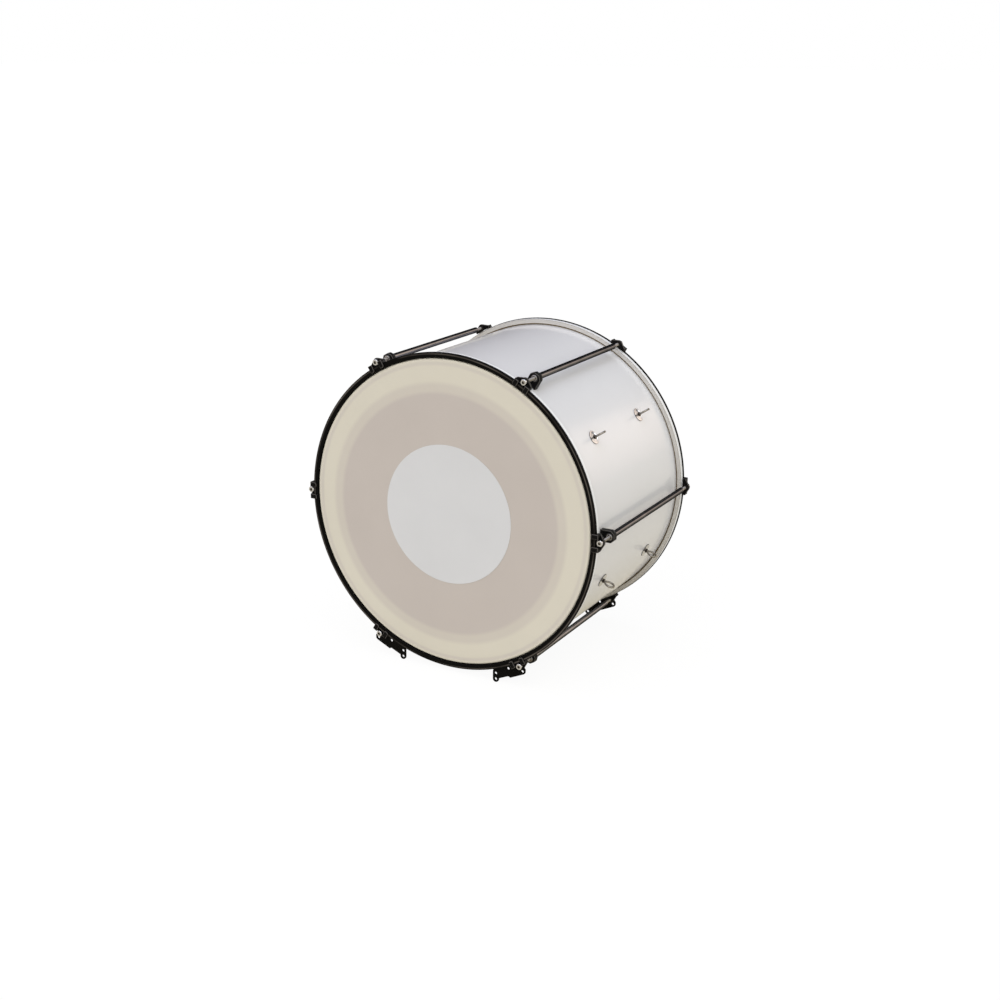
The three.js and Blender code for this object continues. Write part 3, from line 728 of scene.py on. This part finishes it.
def plain_share(tree, direct, mirrored):
    """How much of the plain pale background the camera's own rays and mirrored rays see, the rest being as lit"""
    path = tree.nodes.new("ShaderNodeLightPath")
    seen = math_node(tree, "MULTIPLY", path.outputs["Is Camera Ray"], direct)
    through = math_node(tree, "MULTIPLY", path.outputs["Is Transmission Ray"], direct)
    bounced = math_node(tree, "MULTIPLY", path.outputs["Is Glossy Ray"], mirrored)
    return math_node(tree, "MAXIMUM", math_node(tree, "MAXIMUM", seen, through), bounced)


def studio_floor(name):
    """Pale floor that the camera and reflections see as white, and that keeps the drum's shadow"""
    material, tree, shader = new_finish(name, Specular_IOR_Level=0.0)
    patches = used(tree, grain_group(), Grain_Scale=300.0, Patch_Scale=0.8)
    shades(tree, shader, patches.outputs["Patches"], bpy.context.scene.drum_studio.floor, 0.995, 1.0)
    ranged(tree, shader.inputs["Roughness"], patches.outputs["Patches"], 0.8, 0.9)
    mirrored = tree.nodes.new("ShaderNodeLightPath").outputs["Is Glossy Ray"]
    tint = added(tree, "ShaderNodeMix", {0: mirrored, 6: (1, 1, 1, 1), 7: (*linear(240, 226, 184), 1)},
                 data_type="RGBA")
    glow = added(tree, "ShaderNodeEmission", {"Color": tint.outputs[2], "Strength": 1.06})
    mixed = added(tree, "ShaderNodeMixShader", {0: plain_share(tree, 0.88, 0.4), 1: shader.outputs[0],
                                                2: glow.outputs[0]})
    tree.links.new(mixed.outputs[0], tree.nodes["Material Output"].inputs["Surface"])
    return material


# Pieces

class DRUM_OT_shell(bpy.types.Operator):
    """Turn the shell, with its bearing edges"""
    bl_idname = "drum.shell"
    bl_label = "Shell"

    def execute(self, context):
        s = sizes()
        inner = s.shell_radius - s.shell_wall
        crest = s.shell_radius - s.crest_inset
        outer_edge = s.shell_crest - 3 * MM
        inner_edge = s.shell_crest - 4 * MM
        bm = turned([(s.shell_radius, -outer_edge), (s.shell_radius, outer_edge), (crest, s.shell_crest),
                     (inner, inner_edge), (inner, -inner_edge), (crest, -s.shell_crest)], s.round_steps)
        crests = edges_near(bm, lambda co: abs(co.y) > s.shell_crest - 0.1 * MM)
        eased(bm, crests, 0.5 * MM, 3)
        for face in bm.faces:
            middle = face.calc_center_median()
            outside = math.hypot(middle.x, middle.z) > s.shell_radius - 0.5 * MM
            face.material_index = 0 if outside and abs(middle.y) < outer_edge else 1
        films = [finish_once("shell_white_film", shell_film), finish_once("shell_ply", shell_ply)]
        finished("shell_body", bm, placed("front"), films, "drum", "shell_white", "shell")
        bm.free()
        return {"FINISHED"}


class DRUM_OT_heads(bpy.types.Operator):
    """Form both heads, with their collars and dots"""
    bl_idname = "drum.heads"
    bl_label = "Heads"

    def execute(self, context):
        s = sizes()
        t = s.film_thickness
        face, flat = s.film_face, s.shell_radius - 2 * MM
        neck = s.hoop_radius - s.hoop_width - 0.6 * MM
        neck_out = out_of("flesh_hoop_front")[1]
        skirt_top = out_of("flesh_hoop_front")[0] + 5.8 * MM
        outer = [(0, face), (flat * 0.93, face), (flat - 1.2 * MM, face), (flat, face - 0.1 * MM),
                 (flat + 1.2 * MM, face - 0.5 * MM), (flat + 2.1 * MM, face - 1.2 * MM),
                 (s.shell_radius + 0.6 * MM, face - 2 * MM), (neck, neck_out),
                 (s.film_radius, skirt_top), (s.film_radius, s.film_skirt)]
        inner = [(s.film_radius - t, s.film_skirt), (s.film_radius - t, skirt_top), (neck - t, neck_out),
                 (s.shell_radius + 0.6 * MM - t, face - t - 2 * MM), (flat + 1.7 * MM, face - t - 1.2 * MM),
                 (flat + 0.9 * MM, face - t - 0.5 * MM), (flat - 0.3 * MM, face - t), (0, face - t)]
        film = turned(outer + inner, s.round_steps, ring=False)
        dot_back, dot_face = out_of("head_dot_front")
        dot = turned([(0, dot_face), (s.dot_radius - 0.15 * MM, dot_face), (s.dot_radius, dot_face - 0.1 * MM),
                      (s.dot_radius, dot_back), (0, dot_back)], s.round_steps, ring=False)
        skin, patch = finish_once("head_coated_film", head_skin), finish_once("head_dot_film", dot_skin)
        for end in ENDS:
            finished(f"head_skin_{end}", film, placed(end), [skin], "drum", "head_film", f"head_film_{end}")
            finished(f"dot_{end}", dot, placed(end), [patch], "drum", "head_dot", f"head_dot_{end}")
        film.free()
        dot.free()
        return {"FINISHED"}


class DRUM_OT_damping_rings(bpy.types.Operator):
    """Give the damping rings behind the heads their felt"""
    bl_idname = "drum.damping_rings"
    bl_label = "Damping Rings"

    def execute(self, context):
        felt = finish_once("damping_ring_felt", ring_felt)
        for end in ENDS:
            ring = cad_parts[f"damping_ring_{end}"]
            ring.data.materials.clear()
            ring.data.materials.append(felt)
        return {"FINISHED"}


class DRUM_OT_flesh_hoops(bpy.types.Operator):
    """Turn the aluminium flesh hoops, open channels with a groove at the corner and a dark strip of painted shade at
    the shell
    """
    bl_idname = "drum.flesh_hoops"
    bl_label = "Flesh Hoops"

    def execute(self, context):
        s = sizes()
        low, high = out_of("flesh_hoop_front")
        outside, bore = s.flesh_radius, s.flesh_radius - s.flesh_width
        lip, channel = bore + 1.2 * MM, bore + 3.2 * MM
        shade_edge, depth = bore + s.shade_strip_width, 1.5 * MM
        bm = turned([(bore, low + depth), (shade_edge, low + depth), (shade_edge, low + 0.35 * MM), (shade_edge + 0.35 * MM, low),
                     (outside - 1.6 * MM, low), (outside - 1.2 * MM, low + 0.8 * MM),
                     (outside - 0.75 * MM, low + 0.1 * MM), (outside - 0.25 * MM, low + 0.2 * MM),
                     (outside, low + 0.6 * MM), (outside, high - 0.4 * MM), (outside - 0.4 * MM, high),
                     (channel, high), (channel, low + 2.2 * MM), (lip, low + 2.2 * MM),
                     (lip, low + 5.5 * MM), (bore, low + 5.5 * MM)], s.round_steps)
        for face in bm.faces:
            middle = face.calc_center_median()
            radius = math.hypot(middle.x, middle.z)
            # The recess at the shell takes the dark finish, as painted shade in the gap.
            in_gap_shade = radius < shade_edge + 0.02 * MM and -middle.y < low + depth + 0.02 * MM
            # The outer face takes the brighter finish, as a painted highlight.
            face.material_index = 2 if radius > outside - 0.15 * MM else 1 if in_gap_shade else 0
        metals = [finish_once("flesh_hoop_aluminium", hoop_aluminium), finish_once("painted_gap_shade", painted_gap_shade),
                  finish_once("flesh_hoop_painted_highlight", painted_rim_highlight)]
        for end in ENDS:
            finished(f"flesh_channel_{end}", bm, placed(end), metals, "drum", "flesh_hoop", f"flesh_hoop_{end}")
        bm.free()
        return {"FINISHED"}


class DRUM_OT_counter_hoops(bpy.types.Operator):
    """Turn the flat black counter hoops"""
    bl_idname = "drum.counter_hoops"
    bl_label = "Counter Hoops"

    def execute(self, context):
        s = sizes()
        low, high = out_of("counter_hoop_front")
        inside = s.hoop_radius - s.hoop_width
        bm = turned([(inside, low), (s.hoop_radius, low), (s.hoop_radius, high), (inside, high)], s.round_steps)
        eased(bm, edges_near(bm, lambda co: -co.y > high - 0.1 * MM), s.hoop_round, 4)
        eased(bm, edges_near(bm, lambda co: -co.y < low + 0.1 * MM), 0.4 * MM, 2)
        black = finish_once("hoop_black_enamel", hoop_black)
        for end in ENDS:
            finished(f"hoop_ring_{end}", closed(bm), placed(end), [black], f"{end}_hoop", "hoop_black",
                     f"counter_hoop_{end}")
        bm.free()
        return {"FINISHED"}


def claw_finger(side):
    """One finger, an L that stands beside the hoop and hooks over its face, with a rounded tip"""
    s = sizes()
    face = out_of("counter_hoop_front")[1]
    clear = s.hoop_radius + 0.3 * MM
    outside = s.lug_circle - 1 * MM
    tip = s.hoop_radius - s.finger_reach
    foot, under, top = out_of("claw_front_2")[0], face + 0.3 * MM, face + 4.1 * MM
    bm = bmesh.new()
    near = side * s.finger_offset - s.finger_width / 2
    profile = [(clear, foot), (outside, foot), (outside, top), (tip, top), (tip, under), (clear, under)]
    verts = [bm.verts.new((near, -out, up)) for up, out in profile]
    grown = bmesh.ops.extrude_face_region(bm, geom=[bm.faces.new(verts)])
    moved = [g for g in grown["geom"] if isinstance(g, bmesh.types.BMVert)]
    bmesh.ops.translate(bm, verts=moved, vec=(s.finger_width, 0, 0))
    closed(bm)
    tips = [e for e in edges_near(bm, lambda co: co.z < tip + 0.1 * MM)
            if abs(e.verts[0].co.x - e.verts[1].co.x) < 0.1 * MM]
    eased(bm, tips, 3.6 * MM, 6)
    eased(bm, edges_near(bm, lambda co: -co.y > top - 0.1 * MM), 1.9 * MM, 4)
    eased(bm, sharp_edges(bm), 0.45 * MM, 2)
    return closed(bm)


def claw_web():
    """The boss for the bolt, and the web that joins it to the fingers"""
    s = sizes()
    half = s.finger_offset + s.finger_width / 2 - 0.4 * MM
    clear = s.hoop_radius + 0.3 * MM
    drop = 1 * MM
    tangent = math.acos(s.boss_radius / math.hypot(half, drop)) - math.atan2(drop, half)
    span = math.asin(half / clear)
    outline = arc(0, 0, clear, math.pi / 2 + span, math.pi / 2 - span, 10)
    outline += [(half, s.lug_circle - drop)]
    outline += arc(0, s.lug_circle, s.boss_radius, tangent, math.pi - tangent, 16)
    outline += [(-half, s.lug_circle - drop)]
    back, face = out_of("claw_front_2")[0], out_of("counter_hoop_front")[1] - 6.3 * MM
    bm = plate(outline, [circle(0, s.lug_circle, s.bolt_radius + 0.4 * MM, 24)], back, face)
    return eased(bm, sharp_edges(bm), 0.9 * MM, 3)


class DRUM_OT_claws(bpy.types.Operator):
    """Cast the claws that hook over the hoops"""
    bl_idname = "drum.claws"
    bl_label = "Claws"

    def execute(self, context):
        bm = claw_web()
        for side in (-1, 1):
            bm = carved(bm, claw_finger(side), "UNION")
        # The rounded edges take the paler black as a painted highlight.
        mark_edge_highlights(bm)
        blacks = [finish_once("claw_black_cast", claw_black), finish_once("painted_edge_highlight", painted_edge_highlight)]
        for end in ENDS:
            for lug in range(1, LUG_COUNT + 1):
                finished(f"claw_hook_{end}_{lug}", bm, placed(end, lug_angle(lug)), blacks,
                         f"{end}_hoop", "claw_black", f"claw_{end}_{lug}")
        bm.free()
        return {"FINISHED"}


def bolt_mesh(seat):
    """A tension bolt with a socket head and a cut thread"""
    s = sizes()
    top, end = seat + 5.5 * MM, seat - 50 * MM
    rim = s.socket_radius + 0.6 * MM
    depth, run_out = 0.32 * MM, seat - 9 * MM
    profile = [(rim, top), (s.bolt_head - 0.7 * MM, top), (s.bolt_head, top - 0.7 * MM),
               (s.bolt_head, seat + 0.3 * MM), (s.bolt_head - 0.3 * MM, seat), (s.bolt_radius, seat)]
    turns = int((run_out - end - 1.5 * MM) / s.bolt_pitch)
    for turn in range(turns):
        out = run_out - turn * s.bolt_pitch
        profile += [(s.bolt_radius, out), (s.bolt_radius - depth, out - s.bolt_pitch / 2)]
    profile += [(s.bolt_radius, run_out - turns * s.bolt_pitch), (s.bolt_radius, end + 0.6 * MM),
                (s.bolt_radius - 0.6 * MM, end), (0, end)]
    bm = turned(profile, 32, s.lug_circle, ring=False)
    rim_edges = [e for e in bm.edges if e.is_boundary]
    lay = Matrix.Translation((0, -top, s.lug_circle)) @ Matrix.Rotation(math.pi / 2, 4, "X")
    ring = bmesh.ops.create_circle(bm, segments=6, radius=s.socket_radius, cap_ends=False, matrix=lay)
    hexagon = list({e for v in ring["verts"] for e in v.link_edges})
    bmesh.ops.triangle_fill(bm, use_beauty=True, edges=rim_edges + hexagon)
    grown = bmesh.ops.extrude_edge_only(bm, edges=hexagon)
    moved = [g for g in grown["geom"] if isinstance(g, bmesh.types.BMVert)]
    bmesh.ops.translate(bm, verts=moved, vec=(0, 2.6 * MM, 0))
    bmesh.ops.holes_fill(bm, edges=[e for e in bm.edges if e.is_boundary], sides=6)
    # The socket's walls take the dark steel as painted shade in the recess; its floor takes the shaft's grey.
    for face in bm.faces:
        middle = face.calc_center_median()
        within = math.hypot(middle.x, middle.z - s.lug_circle) < s.socket_radius
        shaft_or_floor = -middle.y < seat - 0.1 * MM or abs(-middle.y - top + 2.6 * MM) < 0.1 * MM and within
        face.material_index = 2 if shaft_or_floor else 1 if within and -middle.y < top - 0.1 * MM else 0
    return closed(bm)


class DRUM_OT_bolts(bpy.types.Operator):
    """Cut the tension bolts"""
    bl_idname = "drum.bolts"
    bl_label = "Tension Bolts"

    def execute(self, context):
        seat = out_of("floor_bracket_front_right")[0]
        raised = seat + sizes().bracket_plate + 0.3 * MM
        plain, over_plate = bolt_mesh(seat), bolt_mesh(raised)
        metals = [finish_once("bright_nickel", bright_nickel), finish_once("dark_steel_painted_shade", dark_steel_painted_shade),
                  finish_once("bolt_shaft", bolt_shaft)]
        for end in ENDS:
            for lug in range(1, LUG_COUNT + 1):
                bm = over_plate if lug in BRACKET_LUGS else plain
                finished(f"bolt_{end}_{lug}", bm, placed(end, lug_angle(lug)), metals,
                         f"{end}_bolt_{lug}", "nickel", f"tension_bolt_{end}_{lug}")
        plain.free()
        over_plate.free()
        return {"FINISHED"}


class DRUM_OT_tubes(bpy.types.Operator):
    """Draw the tension tubes, with a threaded insert in each end"""
    bl_idname = "drum.tubes"
    bl_label = "Tension Tubes"

    def execute(self, context):
        s = sizes()
        low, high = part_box("tension_tube_2")
        flange, flange_radius = 1.5 * MM, s.tube_radius - 0.5 * MM
        front, rear = -low.y - flange, high.y - flange
        bore, thread, depth, ease = s.tube_radius - s.tube_wall, s.bolt_radius + 0.4 * MM, 25 * MM, 0.4 * MM
        bm = turned([
            (s.tube_radius, -rear + ease), (s.tube_radius, front - ease), (s.tube_radius - ease, front),
            (flange_radius, front), (flange_radius, front + flange - 0.3 * MM),
            (flange_radius - 0.3 * MM, front + flange), (thread + 0.5 * MM, front + flange),
            (thread, front + flange - 0.5 * MM), (thread, front - depth), (bore, front - depth),
            (bore, depth - rear), (thread, depth - rear), (thread, -rear - flange + 0.5 * MM),
            (thread + 0.5 * MM, -rear - flange), (flange_radius - 0.3 * MM, -rear - flange),
            (flange_radius, -rear - flange + 0.3 * MM), (flange_radius, -rear),
            (s.tube_radius - ease, -rear)], 40, s.lug_circle)
        for face in bm.faces:
            middle = face.calc_center_median()
            radius = math.hypot(middle.x, middle.z - s.lug_circle)
            beyond = -middle.y > front + 0.05 * MM or middle.y > rear + 0.05 * MM
            face.material_index = 1 if beyond or radius < bore - 0.2 * MM else 0
        metals = [finish_once("tube_black_nickel", black_nickel), finish_once("insert_zinc", insert_zinc)]
        for lug in range(1, LUG_COUNT + 1):
            finished(f"tube_{lug}", bm, placed("front", lug_angle(lug)), metals, "drum", "black_nickel",
                     f"tension_tube_{lug}")
        bm.free()
        return {"FINISHED"}


class DRUM_OT_standoffs(bpy.types.Operator):
    """Mould the standoffs, and drive their screws from inside the shell"""
    bl_idname = "drum.standoffs"
    bl_label = "Standoffs"

    def execute(self, context):
        s = sizes()
        half, top_half, saddle = 12 * MM, 5.5 * MM, s.shell_radius + 0.3 * MM
        span = math.asin(half / saddle)
        shoulder, crown = s.lug_circle + 2.5 * MM, s.lug_circle + 9.5 * MM
        outline = arc(0, 0, saddle, math.pi / 2 + span, math.pi / 2 - span, 8)
        outline += [(half, shoulder), (top_half, crown), (-top_half, crown), (-half, shoulder)]
        front = -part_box("tube_standoff_2")[0].y
        back = -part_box("tube_standoff_2")[1].y
        bm = plate(outline, [circle(0, s.lug_circle, s.tube_radius + 0.3 * MM, 40)], back, front)
        # The rounded edges take the paler black as a painted highlight.
        mark_edge_highlights(eased(bm, sharp_edges(bm, 25), 1.1 * MM, 3))
        middle, inside = (front + back) / 2, s.shell_radius - s.shell_wall - 0.3 * MM
        screw = turned_outwards([
            (0, inside - 3 * MM), (3.6 * MM, inside - 3 * MM), (4.7 * MM, inside - 2.2 * MM),
            (5 * MM, inside - 1.2 * MM), (5 * MM, inside - 0.6 * MM), (2.2 * MM, inside - 0.6 * MM),
            (2.2 * MM, s.shell_radius + 7 * MM), (0, s.shell_radius + 8 * MM)], 24)
        bmesh.ops.translate(screw, verts=screw.verts, vec=(0, -middle, 0))
        nylons = [finish_once("standoff_nylon", standoff_nylon), finish_once("painted_edge_highlight", painted_edge_highlight)]
        metal = finish_once("insert_zinc", insert_zinc)
        for lug in range(1, LUG_COUNT + 1):
            place = placed("front", lug_angle(lug))
            finished(f"standoff_{lug}", bm, place, nylons, "drum", "standoff_black", f"tube_standoff_{lug}")
            finished(f"standoff_screw_{lug}", screw, place, [metal], "drum", "nickel")
        bm.free()
        screw.free()
        return {"FINISHED"}


def eye_mesh():
    """An eye bolt: ring, collar, shank and nut"""
    s = sizes()
    inside = s.shell_radius - s.shell_wall
    seat = s.shell_radius + 3 * MM
    neck = seat + 5.3 * MM
    centre = neck + s.eye_ring
    end = inside - 8 * MM
    shank = turned_outwards([
        (0, end), (2.4 * MM, end), (3 * MM, end + 0.6 * MM), (3 * MM, seat), (3.9 * MM, seat),
        (4.2 * MM, seat + 0.3 * MM), (4.2 * MM, seat + 1.5 * MM), (3.9 * MM, seat + 1.8 * MM),
        (2.9 * MM, seat + 2.1 * MM), (2.3 * MM, seat + 3 * MM), (2 * MM, neck), (0, neck + 0.4 * MM)], 32)
    ring = bmesh.new()
    wire = bmesh.ops.create_circle(ring, segments=20, radius=s.eye_wire, cap_ends=False,
                                   matrix=Matrix.Translation((0, s.eye_ring, centre)))
    edges = list({e for v in wire["verts"] for e in v.link_edges})
    bmesh.ops.spin(ring, geom=wire["verts"] + edges, cent=(0, 0, centre), axis=(1, 0, 0),
                   angle=2 * math.pi, steps=56, use_merge=True)
    for vert in ring.verts:
        fall = (centre - vert.co.z) / s.eye_ring
        if fall > 0:
            vert.co.z = centre - (centre - vert.co.z) * 1.3
            vert.co.y *= 1 - 0.35 * min(fall, 1) ** 2
    nut = bmesh.new()
    bmesh.ops.create_cone(nut, cap_ends=True, segments=6, radius1=5.8 * MM, radius2=5.8 * MM, depth=5 * MM,
                          matrix=Matrix.Translation((0, 0, inside - 3.5 * MM)))
    eased(nut, sharp_edges(nut), 0.4 * MM, 2)
    return carved(carved(shank, closed(ring), "UNION"), closed(nut), "UNION")


class DRUM_OT_eyes(bpy.types.Operator):
    """Bend the eye bolts and turn the rosettes under them"""
    bl_idname = "drum.eyes"
    bl_label = "Eyes"

    def execute(self, context):
        s = sizes()
        seat, rim, bore = s.shell_radius + 0.3 * MM, s.rosette_radius, s.bolt_radius + 0.4 * MM
        rosette = turned_outwards([
            (bore, seat), (rim - 0.2 * MM, seat), (rim, seat + 0.2 * MM), (rim, seat + 0.5 * MM),
            (rim - 0.4 * MM, seat + 0.75 * MM), (rim - 1.4 * MM, seat + 0.7 * MM),
            (9.7 * MM, seat + 1.3 * MM), (7 * MM, seat + 1.85 * MM), (5 * MM, seat + 2.25 * MM),
            (bore + 0.5 * MM, seat + 2.4 * MM), (bore, seat + 2.3 * MM)], 56, ring=True)
        eye = eye_mesh()
        # The rosette's outer rim takes the dark steel as painted shade round its edge.
        for face in rosette.faces:
            middle = face.calc_center_median()
            face.material_index = 1 if math.hypot(middle.x, middle.y) > rim - 0.45 * MM else 0
        # The eye's base near the shell takes the same dark steel, so it is darker there.
        for face in eye.faces:
            middle = face.calc_center_median()
            face.material_index = 1 if middle.z < seat + 4.5 * MM and math.hypot(middle.x, middle.y) < 4.5 * MM else 0
        metals = [finish_once("bright_nickel", bright_nickel), finish_once("dark_steel_painted_shade", dark_steel_painted_shade)]
        eye_metals = [finish_once("eye_nickel", eye_nickel), metals[1]]
        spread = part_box("eye_bolt_upper_rear")
        along = (spread[0].y + spread[1].y) / 2
        for name, (degrees, side) in EYES.items():
            place = placed("front", math.radians(degrees)) @ Matrix.Translation((0, side * along, 0))
            finished(f"eye_{name}", eye, place, eye_metals, "drum", "nickel", f"eye_bolt_{name}")
            finished(f"rosette_{name}", rosette, place, metals, "drum", "nickel", f"eye_rosette_{name}")
        eye.free()
        rosette.free()
        return {"FINISHED"}


def bracket_mesh(side):
    """A floor bracket, cut clear of the hoop and of the claw's fingers. side is 1 for the right-hand one."""
    s = sizes()
    bolt_x, bolt_z = s.lug_circle * math.sin(FIRST_LUG), -s.lug_circle * math.cos(FIRST_LUG)

    def point(reach, drop):
        return side * (bolt_x - reach * MM), bolt_z - drop * MM

    def bend(reach, drop, radius, first, last, steps):
        return [point(*p) for p in arc(reach, drop, radius, first, last, steps)]

    run, fall = 26.5, 19.2
    tail = math.atan2(fall, run) + math.acos(6.2 / math.hypot(run, fall))
    ear_drop = (s.axis_height + bolt_z) / MM - 6.4
    outline = [point(60.4, 24.2)] + bend(54, ear_drop, 6.4, 0, math.pi, 14)
    outline += [point(47.6, 37.1), point(25.9, 27.5), point(21.5, 29.7)]
    outline += bend(-5, 10.5, 6.2, tail, math.pi, 10) + [point(-11.2, 6), point(-7, 0)]
    outline += [point(-7, -10.5), point(54, -10.5)]
    holes = [circle(*point(0, 0), s.bolt_radius + 0.4 * MM)]
    for place in ((-5, 10.5), (26.3, 11.2), (54, ear_drop), (54, ear_drop - 12.2)):
        holes.append(circle(*point(*place), s.bracket_hole, 24))
    near, far = out_of("floor_bracket_front_right")
    bm = plate(outline, holes, near, far)
    bm = carved(bm, cylinder_along(s.hoop_radius + 0.3 * MM, 0, near - 9 * MM, far + 9 * MM, s.round_steps))
    for offset in (-s.finger_offset, s.finger_offset):
        box = bmesh.new()
        top = s.lug_circle - 0.7 * MM
        size = (s.finger_width + 0.6 * MM, 24 * MM, top - s.shell_radius)
        lay = (Matrix.Rotation(math.pi - side * FIRST_LUG, 4, "Y")
               @ Matrix.Translation((offset, -near, s.shell_radius + size[2] / 2))
               @ Matrix.Diagonal((*size, 1)))
        bmesh.ops.create_cube(box, size=1, matrix=lay)
        bm = carved(bm, closed(box))
    return eased(bm, sharp_edges(bm, 50), 0.35 * MM, 2)


class DRUM_OT_brackets(bpy.types.Operator):
    """Stamp the floor brackets"""
    bl_idname = "drum.brackets"
    bl_label = "Floor Brackets"

    def execute(self, context):
        black = finish_once("bracket_enamel", bracket_black)
        for end, facing in (("front", 1), ("rear", -1)):
            for name, side in (("right", 1), ("left", -1)):
                bm = bracket_mesh(side * facing)
                finished(f"bracket_{end}_{name}", bm, placed(end), [black], f"{end}_hoop",
                         "bracket_black", f"floor_bracket_{end}_{name}")
                bm.free()
        return {"FINISHED"}


# Studio

def studio_world():
    """Dim walls with soft lights on them, which the camera sees as plain white, and mirrors see partly so"""
    world = bpy.data.worlds.new("studio_walls")
    bpy.context.scene.world = world
    world.use_nodes = True
    tree = world.node_tree
    direction = tree.nodes.new("ShaderNodeTexCoord").outputs["Generated"]

    def along(line):
        return added(tree, "ShaderNodeVectorMath", {0: direction, 1: line}, operation="DOT_PRODUCT").outputs["Value"]

    total = added(tree, "ShaderNodeCombineXYZ", {0: WALL[0], 1: WALL[1], 2: WALL[2]}).outputs[0]
    for toward, tightness, shade, turn in SOFT_LIGHTS:
        away = math_node(tree, "SUBTRACT", along(Vector(toward).normalized()), 1.0)
        glow = math_node(tree, "EXPONENT", math_node(tree, "MULTIPLY", away, tightness))
        if turn is not None:
            across = along((math.cos(math.radians(turn)), -math.sin(math.radians(turn)), 0))
            inside = added(tree, "ShaderNodeMapRange", {"Value": across, "From Min": -0.012, "From Max": 0.012})
            glow = math_node(tree, "MULTIPLY", glow, inside.outputs[0])
        light = added(tree, "ShaderNodeVectorMath", {0: shade, 3: glow}, operation="SCALE").outputs[0]
        total = added(tree, "ShaderNodeVectorMath", {0: total, 1: light}, operation="ADD").outputs[0]
    shown = added(tree, "ShaderNodeMix", {0: plain_share(tree, 1.0, 0.03), 6: total, 7: (1, 1, 1, 1)},
                  data_type="RGBA")
    tree.links.new(shown.outputs[2], tree.nodes["Background"].inputs["Color"])


class DRUM_OT_stage(bpy.types.Operator):
    """Set the floor, the walls with their soft lights, and the camera"""
    bl_idname = "drum.stage"
    bl_label = "Studio"

    def execute(self, context):
        studio, middle = context.scene.drum_studio, sizes().axis_height
        bm = bmesh.new()
        bmesh.ops.create_circle(bm, cap_ends=True, segments=96, radius=studio.floor_radius)
        mesh = bpy.data.meshes.new("studio_floor")
        bm.to_mesh(mesh)
        bm.free()
        mesh.materials.append(finish_once("studio_floor", studio_floor))
        ground = bpy.data.objects.new("studio_floor", mesh)
        context.scene.collection.objects.link(ground)
        studio_world()
        aim = (0, 0, middle)
        back = Vector((math.sin(studio.azimuth) * math.cos(studio.elevation),
                       -math.cos(studio.azimuth) * math.cos(studio.elevation), math.sin(studio.elevation)))
        right = Vector((math.cos(studio.azimuth), math.sin(studio.azimuth), 0))
        up = back.cross(right)
        turn, slip = math.cos(studio.roll), math.sin(studio.roll)
        basis = Matrix((turn * right + slip * up, turn * up - slip * right, back)).transposed().to_4x4()
        lens = bpy.data.cameras.new("camera")
        lens.lens, lens.sensor_width, lens.sensor_fit = studio.lens, 36.0, "HORIZONTAL"
        camera = bpy.data.objects.new("camera", lens)
        camera.matrix_world = Matrix.Translation(Vector(studio.place) + Vector(aim)) @ basis
        context.scene.collection.objects.link(camera)
        context.scene.camera = camera
        context.scene.view_settings.view_transform = "Standard"
        return {"FINISHED"}


OPERATORS = (
    DRUM_OT_shell, DRUM_OT_heads, DRUM_OT_damping_rings, DRUM_OT_flesh_hoops, DRUM_OT_counter_hoops,
    DRUM_OT_claws, DRUM_OT_bolts, DRUM_OT_tubes, DRUM_OT_standoffs, DRUM_OT_eyes, DRUM_OT_brackets,
    DRUM_OT_stage,
)


class DRUM_PT_panel(bpy.types.Panel):
    """Lists the drum's pieces, sizes and colours"""
    bl_idname = "DRUM_PT_panel"
    bl_label = "Marching Bass Drum"
    bl_space_type = "VIEW_3D"
    bl_region_type = "UI"
    bl_category = "Drum"

    def draw(self, context):
        column = self.layout.column(align=True)
        for operator in OPERATORS:
            column.operator(operator.bl_idname)
        for group in ("drum_sizes", "drum_colours", "drum_studio"):
            values = getattr(context.scene, group)
            box = self.layout.box()
            for name in values.bl_rna.properties.keys():
                if name not in ("rna_type", "name"):
                    box.prop(values, name)


CLASSES = (DrumSizes, DrumColours, DrumStudio, *OPERATORS, DRUM_PT_panel)


def register():
    for item in CLASSES:
        bpy.utils.register_class(item)
    bpy.types.Scene.drum_sizes = PointerProperty(type=DrumSizes)
    bpy.types.Scene.drum_colours = PointerProperty(type=DrumColours)
    bpy.types.Scene.drum_studio = PointerProperty(type=DrumStudio)


def unregister():
    del bpy.types.Scene.drum_studio
    del bpy.types.Scene.drum_colours
    del bpy.types.Scene.drum_sizes
    for item in reversed(CLASSES):
        bpy.utils.unregister_class(item)


def main():
    register()
    for operator in OPERATORS:
        group, name = operator.bl_idname.split(".")
        getattr(getattr(bpy.ops, group), name)()


if __name__ == "__main__":
    main()
